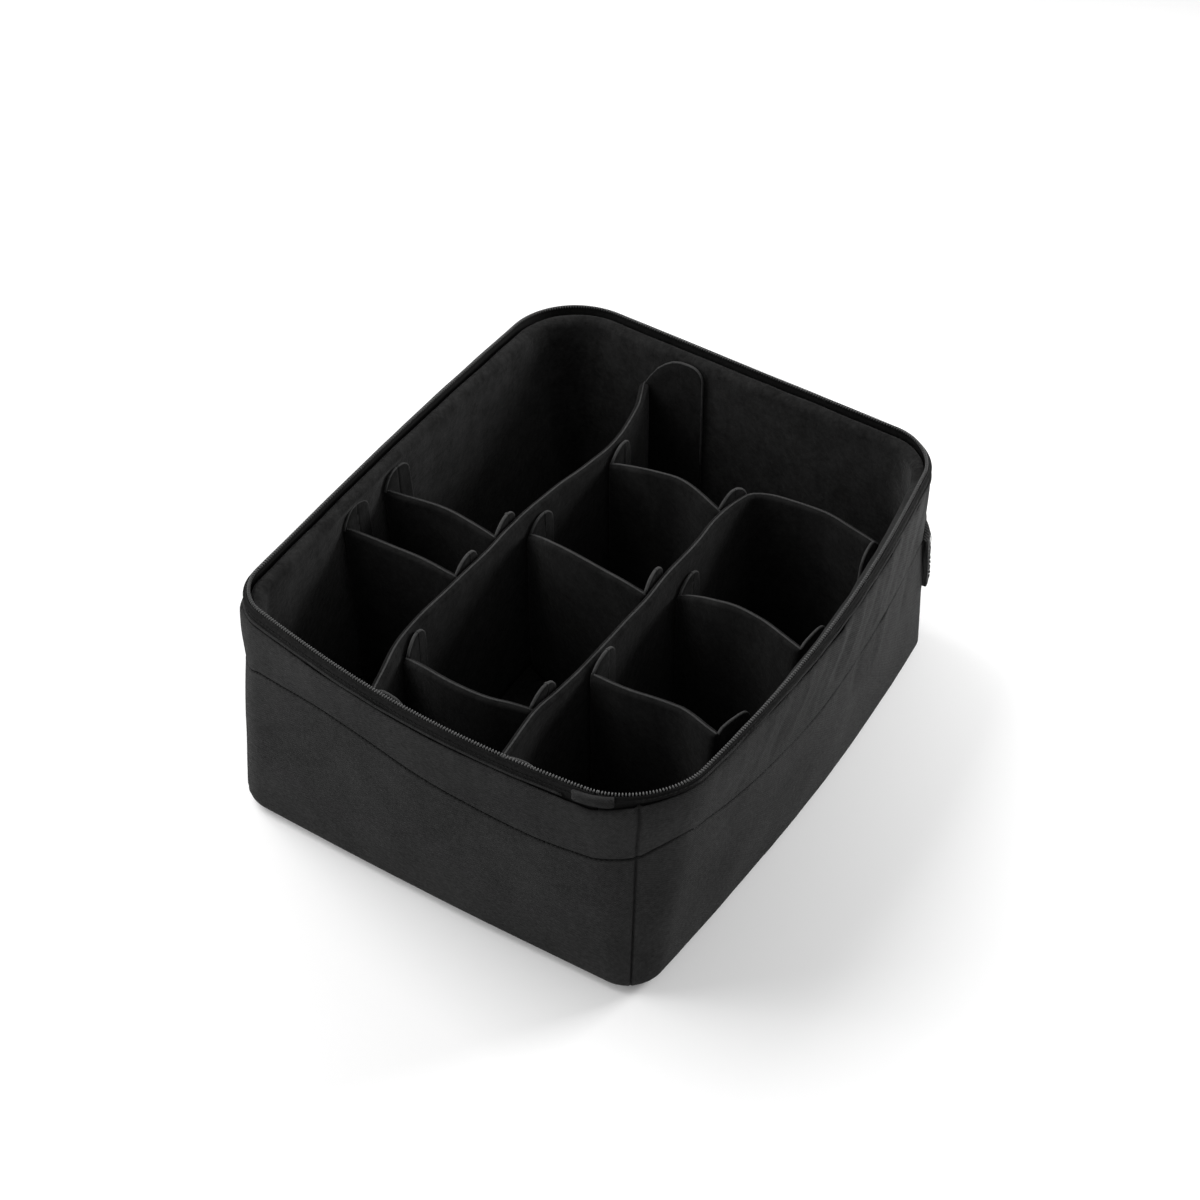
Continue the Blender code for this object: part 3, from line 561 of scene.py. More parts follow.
def cross_weave_group() -> bpy.types.NodeTree:
    """Crossing threads over the cloth's own map: a height and a shade, both from 0 to 1."""
    inputs = (("Map", "NodeSocketVector", None), ("Thread", "NodeSocketFloat", 0.0007))
    outputs = (("Height", "NodeSocketFloat"), ("Shade", "NodeSocketFloat"))
    group, graph, source, result = new_group("Cross weave", inputs, outputs)
    split = graph.node("ShaderNodeSeparateXYZ", {0: source.outputs["Map"]})
    across = graph.math("DIVIDE", split.outputs["X"], source.outputs["Thread"])
    up = graph.math("DIVIDE", split.outputs["Y"], source.outputs["Thread"])
    wave_across = graph.math("SINE", graph.math("MULTIPLY", across, math.pi))
    wave_up = graph.math("SINE", graph.math("MULTIPLY", up, math.pi))
    height = graph.range(graph.math("MULTIPLY", wave_across, wave_up), -1.0, 1.0, 0.0, 1.0)
    uneven = graph.noise(source.outputs["Map"], 900.0, 3.0)
    graph.fill(result, {"Height": height, "Shade": graph.weighed(height, 0.45, uneven)})
    return group


def pile_group() -> bpy.types.NodeTree:
    """The short loops of velour: a height, and a mottled shade where the pile lies one way or the other, with
    its sheen painted in as lighter and darker patches.
    """
    inputs = (("Place", "NodeSocketVector", None), ("Patch", "NodeSocketFloat", 0.012))
    outputs = (("Height", "NodeSocketFloat"), ("Shade", "NodeSocketFloat"))
    group, graph, source, result = new_group("Velour pile", inputs, outputs)
    place = source.outputs["Place"]
    loops = graph.noise(place, 1400.0, 2.0, 0.7)
    tufts = graph.range(graph.noise(place, 300.0, 3.0, 0.6), 0.32, 0.68, 0.0, 1.0)
    wide = graph.math("DIVIDE", 1.0, source.outputs["Patch"])
    # Painted sheen: lighter and darker patches of colour where the brushed pile catches the light one way or
    # the other.
    brushed_sheen_patches = graph.range(graph.noise(place, wide, 3.0, 0.6), 0.38, 0.66, 0.0, 1.0)
    height = graph.weighed(loops, 0.6, tufts)
    graph.fill(result, {"Height": height, "Shade": graph.weighed(brushed_sheen_patches, 0.55, tufts)})
    return group


def dust_group() -> bpy.types.NodeTree:
    """Fine dust and rubbing: a mask that is strongest in patches and on faces that look up."""
    inputs = (("Place", "NodeSocketVector", None), ("Amount", "NodeSocketFloat", 0.2))
    outputs = (("Mask", "NodeSocketFloat"),)
    group, graph, source, result = new_group("Dust and rubbing", inputs, outputs)
    patches = graph.noise(source.outputs["Place"], 28.0, 4.0, 0.65)
    specks = graph.noise(source.outputs["Place"], 700.0, 1.0)
    spread = graph.range(patches, 0.35, 0.75, 0.2, 1.0)
    grain = graph.range(specks, 0.45, 0.7, 0.3, 1.0)
    normal = graph.node("ShaderNodeNewGeometry")
    facing = graph.node("ShaderNodeSeparateXYZ", {0: normal.outputs["Normal"]})
    upward = graph.range(facing.outputs["Z"], -0.2, 0.9, 0.5, 1.0)
    mask = graph.math("MULTIPLY", graph.math("MULTIPLY", spread, grain), upward)
    graph.fill(result, {"Mask": graph.math("MULTIPLY", mask, source.outputs["Amount"])})
    return group


class Effects:
    """The shared shader node groups, made once."""

    def __init__(self) -> None:
        self.weave = cross_weave_group()
        self.pile = pile_group()
        self.dust = dust_group()


def grey(level: float, warmth: float = 0.0) -> tuple:
    """A near neutral colour, a little warmer or cooler."""
    return level * (1 + warmth), level, level * (1 - warmth), 1.0


DUST_COLOUR = grey(0.30, 0.04)


@dataclass(frozen=True)
class Finish:
    """What every finish has: a name, its darkest and lightest colour and its roughness."""

    name: str
    dark: tuple
    light: tuple
    roughness: float = 0.8
    sheen: float = 0.0
    dust: float = 0.1
    bump_height: float = 0.0002
    gloss: float = 0.12

    def start(self) -> tuple:
        """A new material with its Graph and its shader."""
        made = bpy.data.materials.new(self.name)
        made.use_nodes = True
        graph = Graph(made.node_tree)
        shader = made.node_tree.nodes["Principled BSDF"]
        graph.fill(shader, {"Roughness": self.roughness, "Specular IOR Level": self.gloss})
        graph.fill(shader, {"Sheen Weight": self.sheen, "Sheen Roughness": 0.45})
        return made, graph, shader

    def finish(
        self, graph: Graph, shader: bpy.types.Node, effects: Effects, shade: object, height: object
    ) -> None:
        """Lead a shade and a height to the shader, with dust over them."""
        cloth = graph.mix(shade, self.dark, self.light)
        laid = {"Place": graph.place(), "Amount": self.dust}
        dust = graph.node("ShaderNodeGroup", laid, node_tree=effects.dust)
        relief = {"Height": height, "Strength": 1.0, "Distance": self.bump_height}
        raised = graph.node("ShaderNodeBump", relief)
        values = {
            "Base Color": graph.mix(dust.outputs["Mask"], cloth, DUST_COLOUR),
            "Roughness": graph.range(shade, 0.0, 1.0, self.roughness + 0.08, self.roughness - 0.05),
            "Normal": raised.outputs["Normal"],
        }
        graph.fill(shader, values)


@dataclass(frozen=True)
class WovenFinish(Finish):
    """Woven cloth: nylon, tape or webbing, with threads of a given width."""

    thread: float = 0.0007

    def build(self, effects: Effects) -> bpy.types.Material:
        """The material, with its threads laid along the cloth's map."""
        made, graph, shader = self.start()
        cloth_map = graph.node("ShaderNodeUVMap", uv_map=MAP_NAME).outputs["UV"]
        laid = {"Map": cloth_map, "Thread": self.thread}
        weave = graph.node("ShaderNodeGroup", laid, node_tree=effects.weave)
        place = graph.place()
        wide = graph.noise(place, 22.0, 3.0, 0.6)
        tone = graph.math("MULTIPLY", graph.range(wide, 0.3, 0.7, -0.5, 0.5), 0.30)
        fine = graph.noise(place, 420.0, 2.0, 0.7)
        slub = graph.math("MULTIPLY", graph.range(fine, 0.3, 0.7, -0.5, 0.5), 0.4)
        shade = graph.math("ADD", graph.math("ADD", weave.outputs["Shade"], tone), slub)
        self.finish(graph, shader, effects, shade, weave.outputs["Height"])
        return made


@dataclass(frozen=True)
class VelourFinish(Finish):
    """Loop velour, mottled where the pile was brushed, with the pile's sheen painted in as lighter and darker
    patches.
    """

    roughness: float = 0.9
    dust: float = 0.02
    bump_height: float = 0.0005
    patch: float = 0.012

    def build(self, effects: Effects) -> bpy.types.Material:
        """The material, the same from every side."""
        made, graph, shader = self.start()
        laid = {"Place": graph.place(), "Patch": self.patch}
        pile = graph.node("ShaderNodeGroup", laid, node_tree=effects.pile)
        self.finish(graph, shader, effects, pile.outputs["Shade"], pile.outputs["Height"])
        return made


@dataclass(frozen=True)
class GrainFinish(Finish):
    """Foam, board, thread or moulded coil: fine grain of a given size."""

    grain: float = 900.0

    def build(self, effects: Effects) -> bpy.types.Material:
        """The material with its grain."""
        made, graph, shader = self.start()
        place = graph.place()
        fine = graph.noise(place, self.grain, 3.0, 0.6)
        wide = graph.noise(place, 60.0, 2.0)
        self.finish(graph, shader, effects, graph.weighed(fine, 0.6, wide), fine)
        return made


NYLON = WovenFinish("Charcoal nylon", grey(0.012), grey(0.038), 0.72, dust=0.02, gloss=0.03)
ZIP_TAPE = WovenFinish("Zip tape", grey(0.005), grey(0.015), dust=0.02, gloss=0.03, thread=0.0005)
WEBBING = WovenFinish("Handle webbing", grey(0.004), grey(0.014), 0.7, 0.02, 0.03, 0.0005, thread=0.0013)
# The bound edge tape is lighter than the velour: partly its own grey, partly a painted highlight along the
# top edges of the dividers and flaps.
BINDING_AND_HIGHLIGHT = WovenFinish("Edge binding", grey(0.022), grey(0.065), 0.75, 0.03, 0.04, thread=0.0006)
COIL = GrainFinish("Zip coil", grey(0.04), grey(0.11), 0.4, dust=0.05, bump_height=0.00005, gloss=0.3)
THREAD = GrainFinish("Sewing thread", grey(0.003), grey(0.009), 0.6, dust=0.02, bump_height=0.00005)
CLOSED_FOAM = GrainFinish("Closed foam", grey(0.09), grey(0.14), 0.9, dust=0.05, bump_height=0.0003)
BOARD = GrainFinish("Pressed board", grey(0.16, 0.08), grey(0.23, 0.08), 0.7)
# Painted light: the lining velour's lightest colour is set above the divider and flap velour's, standing for
# the light that falls on the inner walls.
LINING_VELOUR = VelourFinish("Lining velour", grey(0.004), grey(0.017), sheen=0.10, dust=0.03, gloss=0.08)
DIVIDER_VELOUR = VelourFinish("Divider velour", grey(0.004), grey(0.011), sheen=0.04, gloss=0.05)
FLAP_VELOUR = VelourFinish("Flap velour", grey(0.004), grey(0.011), sheen=0.04, gloss=0.05)


class Wardrobe:
    """Every finish of the insert, made once."""

    def __init__(self) -> None:
        effects = Effects()
        self.nylon = NYLON.build(effects)
        self.tape = ZIP_TAPE.build(effects)
        self.webbing = WEBBING.build(effects)
        self.teeth = COIL.build(effects)
        self.lining = LINING_VELOUR.build(effects)
        self.divider = DIVIDER_VELOUR.build(effects)
        self.flap = FLAP_VELOUR.build(effects)
        self.binding_and_highlight = BINDING_AND_HIGHLIGHT.build(effects)
        self.thread = THREAD.build(effects)
        self.foam = CLOSED_FOAM.build(effects)
        self.board = BOARD.build(effects)


def dress(
    obj: bpy.types.Object, material: bpy.types.Material, slot: Slot, body: str, *nodes: str
) -> None:
    """Give a piece its material, its body and the nodes that it stands for.

    Args:
        obj: The piece.
        material: Its finish.
        slot: The record's material slot; not used.
        body: The CAD body that it rides on.
        nodes: The CAD nodes that it replaces.
    """
    obj.data.materials.clear()
    obj.data.materials.append(material)
    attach(obj, body)
    if nodes:
        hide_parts(*nodes)
    LOG.info("%s rides on %s", obj.name, body)


def node_names(layer: str) -> list:
    """The four CAD nodes of a wall layer."""
    return [f"{layer}_{side.name.lower()}" for side in Side]


# The case


@dataclass(frozen=True)
class Crease:
    """A soft fold in the cover: its column, its lowest and highest place, slant, width and depth."""

    column: float
    low: float
    high: float
    slant: float
    width: float
    depth: float

    def depths(self, form: CaseForm, heights: np.ndarray) -> np.ndarray:
        """How far the fold moves each point outwards."""
        middle = np.interp(self.column, form.columns, form.lengths)
        away = form.lengths[:, None] - middle - self.slant * (heights - self.low)
        begun = rise(heights, self.low - 0.012, self.low + 0.008)
        ended = rise(heights, self.high - 0.01, self.high + 0.006)
        return self.depth * bump(away, self.width) * (begun * (1 - ended))


COVER_CREASES = (
    Crease(25.0, 0.070, 0.106, 0.30, 0.0050, -0.0008),
    Crease(25.9, 0.065, 0.106, 0.35, 0.0055, 0.0009),
    Crease(27.0, 0.070, 0.104, 0.40, 0.0050, -0.0008),
    Crease(28.0, 0.060, 0.102, 0.40, 0.0060, 0.0008),
    Crease(2.4, 0.070, 0.100, 1.6, 0.0070, 0.0013),
    Crease(3.2, 0.066, 0.096, 1.7, 0.0080, -0.0012),
    Crease(10.5, 0.030, 0.080, -0.5, 0.012, -0.0007),
)
BAND_CREASES = (
    Crease(21.6, 0.108, 0.150, 0.22, 0.0038, 0.0006),
    Crease(22.1, 0.108, 0.150, 0.24, 0.0041, -0.0006),
    Crease(22.6, 0.108, 0.150, 0.26, 0.0035, 0.0007),
    Crease(23.2, 0.108, 0.150, 0.30, 0.0041, -0.0007),
    Crease(23.7, 0.108, 0.150, 0.28, 0.0035, 0.0009),
    Crease(24.1, 0.108, 0.150, 0.34, 0.0038, -0.0009),
    Crease(24.5, 0.108, 0.150, 0.30, 0.0035, 0.0009),
    Crease(25.1, 0.106, 0.150, 0.36, 0.0043, -0.0009),
    Crease(25.6, 0.104, 0.150, 0.40, 0.0041, 0.0009),
    Crease(26.2, 0.102, 0.150, 0.42, 0.0046, -0.0009),
    Crease(26.8, 0.100, 0.150, 0.45, 0.0043, 0.0009),
    Crease(27.4, 0.098, 0.148, 0.40, 0.0049, -0.0009),
    Crease(28.1, 0.096, 0.148, 0.36, 0.0054, 0.0008),
    Crease(1.6, 0.105, 0.140, 0.8, 0.006, 0.0008),
    Crease(14.6, 0.112, 0.146, -0.3, 0.006, -0.0008),
)


# How far the front, right, back and left walls bulge below the seam
BELLIES = (0.0022, 0.0015, 0.0012, 0.0025)
BELLY_TOP = 0.116
BAND_SWELL = 0.0035


def liveliness(form: CaseForm) -> np.ndarray:
    """How freely the cloth stands out at each column: it is pulled tight round the back right corner."""
    return (1 - 0.78 * bump(form.columns % ALL_COLUMNS - 30.2, 3.0))[:, None]


def corner_pull(form: CaseForm, heights: np.ndarray) -> np.ndarray:
    """How far the back right corner is pulled in under the band."""
    pull = 0.0028 * bump(form.columns % ALL_COLUMNS - 30.0, 2.6)
    return pull[:, None] * (1 - rise(heights, 0.105, 0.142))


def fullness(form: CaseForm, heights: np.ndarray, seams: np.ndarray) -> np.ndarray:
    """How far the stuffed wall stands outside the plain outline: its belly, and the swell under the zip."""
    side_place = form.columns % ALL_COLUMNS / SIDE_COLUMNS
    side = side_place.astype(int) % 4
    within = np.sin(math.pi * (side_place % 1)) ** 0.8
    belly = (np.array(BELLIES)[side] * within + 0.0005)[:, None]
    low = belly * np.sin(math.pi * np.clip(heights / BELLY_TOP, 0, 1)) ** 0.9
    swell = BAND_SWELL * rise(heights, seams[:, None] - 0.004, HEIGHT - 0.018)
    return (low + swell) * liveliness(form)


def cloth_places(form: CaseForm, heights: np.ndarray) -> np.ndarray:
    """Places on the flat cloth: along the outline and up the wall."""
    along = np.broadcast_to(form.lengths[:, None], heights.shape)
    return np.stack([along, heights, np.zeros_like(heights)], axis=2)


def corner_groove(form: CaseForm) -> np.ndarray:
    """How far each column is drawn in by the four corner seams, with the cloth full on both sides."""
    drawn = np.zeros(len(form.columns))
    for column in CORNER_SEAMS:
        away = form.lengths - np.interp(column, form.columns, form.lengths)
        drawn += 0.0021 * bump(away, 0.0008) - 0.0004 * bump(np.abs(away) - 0.0028, 0.0016)
    return drawn


def drawn_in(ring: np.ndarray, middle: np.ndarray, shares: Sequence) -> np.ndarray:
    """Copies of a ring, each at a share of its distance from the middle."""
    return np.concatenate([middle + share * (ring - middle) for share in shares], axis=1)


def broad_ripple(loop: np.ndarray) -> np.ndarray:
    """The wide unevenness that runs from the cover into the band above it."""
    return 0.0010 * ripple(loop, (0.055, 0.055, 0.06), 3.1)


@dataclass
class OuterCover:
    """The nylon cover under the seam: one shell that sags, with a soft rolled bottom edge."""

    spacing: float = 0.0032
    roll_radius: float = 0.0095
    skin: float = 0.0011
    rows: int = 30
    roll_rows: int = 9
    underside: float = 0.0003
    under_shares: tuple = (0.3, 0.62, 0.88, 0.97)
    seam_gap: float = 0.0020
    tuck_drops: tuple = (-0.0014, -0.0010, -0.0007, -0.0005)
    tuck_insets: tuple = (0.0, 0.0001, 0.0005, 0.0013, 0.0024)

    def insets(self, form: CaseForm, heights: np.ndarray, seams: np.ndarray) -> np.ndarray:
        """How far each point of the wall stands inside the plain outline."""
        share = np.clip(heights / seams[:, None], 0, 1)
        loop = form.points(np.zeros_like(heights), heights)
        soft = broad_ripple(loop) + 0.0004 * ripple(loop, (0.02, 0.02, 0.03), 8.7)
        pucker = 0.0003 * ripple(cloth_places(form, heights), (0.006, 0.05, 1.0), 1.7)
        pucker = pucker * bump(heights - seams[:, None], 0.012)
        fade = np.sin(math.pi * np.clip(0.08 + 0.84 * share, 0, 1)) ** 0.5
        folds = sum(crease.depths(form, heights) for crease in COVER_CREASES)
        loose = soft * fade * liveliness(form) + pucker + folds
        return corner_groove(form)[:, None] - fullness(form, heights, seams) - loose

    def build(self, wardrobe: Wardrobe) -> None:
        """The shell with its underside, and the stitching of the band seam."""
        form = CaseForm(even_columns(self.spacing, finer=CORNER_SEAMS)[:-1])
        seams = seam_heights(form.columns)
        angles = np.radians(np.linspace(270, 180, self.roll_rows))
        roll_inset = self.roll_radius + self.roll_radius * np.cos(angles)
        roll_height = self.roll_radius + self.underside + self.roll_radius * np.sin(angles)
        roll = np.broadcast_to(roll_height, (len(form.columns), self.roll_rows))
        shares = np.linspace(0, 1, self.rows + 1)[1:]
        wall = roll_height[-1] + shares * (seams[:, None] - self.seam_gap - roll_height[-1])
        heights = np.concatenate([roll, wall, seams[:, None] + np.array(self.tuck_drops)], axis=1)
        insets = self.insets(form, heights, seams) * rise(heights, 0.0, 0.012) + corner_pull(form, heights)
        insets[:, : self.roll_rows] += roll_inset
        tucked = len(self.tuck_insets)
        insets[:, -tucked:] = insets[:, -tucked - 1 : -tucked] + np.array(self.tuck_insets)
        wall_points = form.points(insets, heights)
        middle = wall_points[:, :1].mean(axis=0, keepdims=True)
        under = drawn_in(wall_points[:, :1], middle, self.under_shares)
        under[..., 2] = self.underside
        points = np.concatenate([under, wall_points], axis=1)
        centre = np.array((*middle[0, 0, :2], self.underside))
        shell = grid_object("cover_shell", points, ring_along=True, centre=centre)
        thicken(shell, self.skin)
        dress(shell, wardrobe.nylon, Slot.NYLON, "root", *node_names("outer"), "base_outer")
        self.stitch(form, insets, heights, wardrobe)

    def stitch(self, form: CaseForm, insets: np.ndarray, heights: np.ndarray, wardrobe: Wardrobe) -> None:
        """Thread along the band seam."""
        line = form.points(insets[:, -5:-4] + 0.0005, heights[:, -1:] + 0.0003)[:, 0]
        line = np.concatenate([line, line[:1]])
        piece = stitches("seam_stitching", line, outward(line), 0.0028, 0.66)
        dress(piece, wardrobe.thread, Slot.NYLON, "root")


def beside(way: np.ndarray) -> np.ndarray:
    """The level direction outwards from each way round the case."""
    return np.stack([way[:, 1], -way[:, 0], np.zeros(len(way))], axis=1)


def outward(line: np.ndarray) -> np.ndarray:
    """The outward direction at each point of a closed line round the case."""
    way = np.roll(line[:-1], -1, axis=0) - np.roll(line[:-1], 1, axis=0)
    return beside(np.concatenate([way, way[:1]]))


@dataclass
class RimBand:
    """The band of cloth between the seam and the zip: it swells out, puckers and turns in."""

    spacing: float = 0.0026
    skin: float = 0.0011
    tuck: tuple = ((0.0026, 0.0003), (0.0014, 0.0004), (0.0005, 0.0006), (0.0001, 0.0010), (0.0, 0.0016))
    lip: tuple = ((1.0, 0.0048), (0.98, 0.0029), (0.87, 0.0013), (0.62, 0.0002), (0.38, 0.0), (0.24, 0.0005))

    def profile(self, seams: np.ndarray, drops: np.ndarray) -> tuple:
        """Insets and heights of the plain band, from the tucked seam to the lip under the zip.

        Args:
            seams: Height of the seam at each column.
            drops: How far under the top the lip lies at each column.

        Returns:
            How far each row is tucked in, how much of the fullness it keeps, and its height.
        """
        heights = [seams + height for _, height in self.tuck]
        low, high = heights[-1], HEIGHT - drops - self.lip[0][1]
        shares = np.linspace(0, 1, 14)[1:-1]
        heights += [low + share * (high - low) for share in shares]
        heights += [HEIGHT - drops - under for _, under in self.lip]
        tucks = np.array([inset for inset, _ in self.tuck] + [0.0] * (len(shares) + len(self.lip)))
        kept = np.array([1.0] * (len(self.tuck) + len(shares)) + [share for share, _ in self.lip])
        return tucks, kept, np.stack(heights, axis=1)

    def build(self, wardrobe: Wardrobe) -> None:
        """The band with its puckers and folds."""
        form = CaseForm(even_columns(self.spacing, finer=CORNER_SEAMS)[:-1])
        seams = seam_heights(form.columns)
        drops = lip_drops(form.columns)
        tucks, kept, heights = self.profile(seams, drops)
        loop = form.points(np.zeros_like(heights), heights)
        free = rise(heights - seams[:, None], 0.0, 0.010)
        free = free * (1 - rise(heights + drops[:, None] - HEIGHT, -0.0008, 0.0019))
        soft = 0.0010 * ripple(loop, (0.04, 0.04, 0.035), 5.3) * liveliness(form)
        pucker = 0.0004 * ripple(cloth_places(form, heights), (0.007, 0.03, 1.0), 2.9)
        folds = sum(crease.depths(form, heights) for crease in BAND_CREASES)
        matched = broad_ripple(loop) * math.sin(math.pi * 0.92) ** 0.5 * liveliness(form)
        loose = (soft + pucker + folds) * free + matched * (1 - rise(heights - seams[:, None], 0.0, 0.02))
        groove = corner_groove(form)[:, None] * (0.3 + 0.7 * free)
        insets = tucks - fullness(form, heights, seams) * kept - loose + groove + corner_pull(form, heights)
        band = grid_object("rim_band", form.points(insets, heights), ring_along=True)
        thicken(band, self.skin)
        dress(band, wardrobe.nylon, Slot.NYLON, "root", *node_names("band"))


@dataclass
class Zip:
    """The half zip round the rim: tape with its sewing, folded hem, coil teeth and the tab over its ends."""

    pitch: float = 0.0018
    tooth: tuple = (0.0020, 0.00095, 0.0021)
    teeth_inset: float = 0.0014
    teeth_drop: float = 0.0012
    tab_start: float = 0.737 * SIDE_COLUMNS
    tab_end: float = 0.869 * SIDE_COLUMNS
    tab_seat: float = -0.0010
    tab_fullness: float = 1.6
    tab_tilt: float = 0.0007
    tab_section: tuple = (
        (-0.0010, 0.0060), (-0.0022, 0.0066), (-0.0030, 0.0065), (-0.0033, 0.0058),
        (-0.0030, 0.0046), (-0.0027, 0.0036), (-0.0027, 0.0027), (-0.0031, 0.0019),
        (-0.0028, 0.0010), (-0.0019, 0.0008), (-0.0010, 0.0014),
    )
    hem_start: float = 18.4
    tape_section: tuple = (
        (-0.0006, 0.0200), (-0.0008, 0.0096), (-0.0008, 0.0066), (-0.0006, 0.0056), (-0.0014, 0.0048),
        (-0.0018, 0.0040), (-0.0013, 0.0033), (-0.0004, 0.0029), (-0.0003, 0.0018), (0.0000, 0.0012),
        (0.0005, 0.0016), (0.0006, 0.0030), (0.0006, 0.0120), (0.0006, 0.0200),
    )

    def build(self, wardrobe: Wardrobe) -> None:
        """Every piece of the zip."""
        split = (self.tab_start + self.tab_end) / 2
        self.build_tape(wardrobe, split)
        self.build_hem(wardrobe)
        self.build_teeth(wardrobe, split)
        self.build_tab(wardrobe)

    def build_tape(self, wardrobe: Wardrobe, split: float) -> None:
        """The tape, with a rolled edge at its top that holds the teeth."""
        form = CaseForm(even_columns(0.003, split + 0.03, split + ALL_COLUMNS - 0.03))
        insets, drops = np.array(self.tape_section).T
        heights = np.broadcast_to(HEIGHT - drops, (len(form.columns), len(drops)))
        wander = 0.00035 * ripple(form.points(np.zeros_like(heights), heights), (0.03, 0.03, 0.03), 6.2)
        points = form.points(insets + wander * (drops < 0.011), heights)
        tape = grid_object("zip_tape_cloth", points, ring_across=True, close_ends=True)
        dress(tape, wardrobe.tape, Slot.TAPE, "root", "zip_tape")
        sewn = (HEIGHT - 0.52 * lip_drops(form.columns))[:, None]
        line = form.points(np.full(sewn.shape, -0.0011), sewn)[:, 0]
        sewing = stitches("zip_sewing", line, beside(np.gradient(line, axis=0)), 0.0028, 0.65)
        dress(sewing, wardrobe.thread, Slot.TAPE, "root")

    def build_hem(self, wardrobe: Wardrobe) -> None:
        """The folded hem of the cover's cloth along the foot of the tape, up to the tab."""
        form = CaseForm(even_columns(0.003, self.hem_start, ALL_COLUMNS + self.tab_start - 0.25))
        angles = np.radians(np.arange(0, 360, 36))
        full = (0.25 + 0.75 * rise(form.columns, self.hem_start, self.hem_start + 1.2))[:, None]
        shape = (len(form.columns), 1)
        loop = form.points(np.zeros(shape), np.full(shape, HEIGHT))
        wander = 0.0004 * ripple(loop, (0.02, 0.02, 0.02), 7.3)
        insets = -0.0010 - 0.0008 * np.cos(angles) * full + wander
        middles = (HEIGHT - lip_drops(form.columns) + 0.0019)[:, None]
        heights = middles + 0.0009 * np.sin(angles) * full + wander
        points = form.points(insets, heights)
        hem = grid_object("zip_hem_fold", points, Facing.AGAINST, ring_across=True, close_ends=True)
        dress(hem, wardrobe.nylon, Slot.NYLON, "root")

    def build_teeth(self, wardrobe: Wardrobe, split: float) -> None:
        """The coil, one tooth for each turn."""
        form = CaseForm(even_columns(self.pitch, split + 0.05, split + ALL_COLUMNS - 0.05))
        shape = (len(form.columns), 1)
        line = form.points(np.full(shape, self.teeth_inset), np.full(shape, HEIGHT - self.teeth_drop))[:, 0]
        way = np.gradient(line, axis=0)
        ups = np.broadcast_to(np.array((0.0, 0.0, 1.0)), line.shape)
        tooth, faces = bead(*self.tooth)
        turned = tooth[:, (1, 0, 2)] * np.array((1.0, -1.0, 1.0))
        teeth = copies("zip_teeth_coil", turned, faces, frames_along(line, ups, way))
        dress(teeth, wardrobe.teeth, Slot.TEETH, "root", "zip_teeth")

    def build_tab(self, wardrobe: Wardrobe) -> None:
        """The folded tab, soft at its edges."""
        form = CaseForm(even_columns(0.0012, self.tab_start, self.tab_end))
        insets, drops = np.array(self.tab_section).T
        count = len(form.columns)
        ends = np.minimum(np.arange(count), np.arange(count)[::-1])
        full = 0.72 + 0.28 * rise(ends, 0.0, 1.6)
        outer = self.tab_seat + (insets - self.tab_seat) * self.tab_fullness * full[:, None]
        tilt = self.tab_tilt * np.linspace(-1, 1, count)[:, None]
        heights = np.broadcast_to(HEIGHT - drops, (count, len(drops))) + tilt
        points = form.points(outer + 0.0002 * ripple(form.points(outer, heights), (0.008,) * 3, 4.4), heights)
        tab = grid_object("zip_end_fold", points, ring_across=True, close_ends=True)
        dress(tab, wardrobe.nylon, Slot.TAPE, "root", "zip_end_tab")


@dataclass(frozen=True)
class Press:
    """A place where a divider's end pushes the soft wall outwards."""

    column: float
    width: float
    depth: float


PRESSES = (Press(57.70, 0.016, 0.0038), Press(56.50, 0.016, 0.0038))


def pressed(form: CaseForm, heights: np.ndarray) -> np.ndarray:
    """How far the presses push the inside of the wall outwards at each point."""
    total = np.zeros_like(heights)
    for press in PRESSES:
        away = form.lengths - np.interp(press.column, form.columns, form.lengths)
        along = press.depth * bump(away, press.width)[:, None]
        total = total + along * rise(heights, 0.05, 0.12) * (1 - rise(heights, 0.138, 0.149))
    return total


@dataclass
class WallPadding:
    """The foam inside the walls: it fills the cover and follows its sag."""

    spacing: float = 0.008
    middle_inset: float = 0.0065
    section: tuple = (
        (0.0085, 0.0045), (0.0050, 0.0070), (0.0038, 0.0110), (0.0036, 0.0400), (0.0036, 0.0800),
        (0.0038, 0.1080), (0.0038, 0.1200), (0.0036, 0.1300), (0.0034, 0.1330), (0.0034, 0.1460),
        (0.0042, 0.1465), (0.0052, 0.1445), (0.0072, 0.1380), (0.0090, 0.1100), (0.0108, 0.0600),
        (0.0120, 0.0180), (0.0118, 0.0050), (0.0104, 0.0042),
    )

    def build(self, wardrobe: Wardrobe) -> None:
        """The foam ring, closed all round."""
        form = CaseForm(even_columns(self.spacing)[:-1])
        insets, heights = np.array(self.section).T
        shape = (len(form.columns), len(insets))
        heights = np.broadcast_to(heights, shape)
        soft = 0.0004 * ripple(form.points(np.zeros(shape), heights), (0.05, 0.05, 0.05), 9.9)
        pulled = (corner_pull(form, heights) + 0.0004) * (insets < self.middle_inset)
        insets = insets + soft + pulled - pressed(form, heights) * (insets > self.middle_inset)
        padding = grid_object("wall_padding", form.points(insets, heights), ring_along=True, ring_across=True)
        dress(padding, wardrobe.foam, Slot.FOAM, "root", *node_names("foam"))


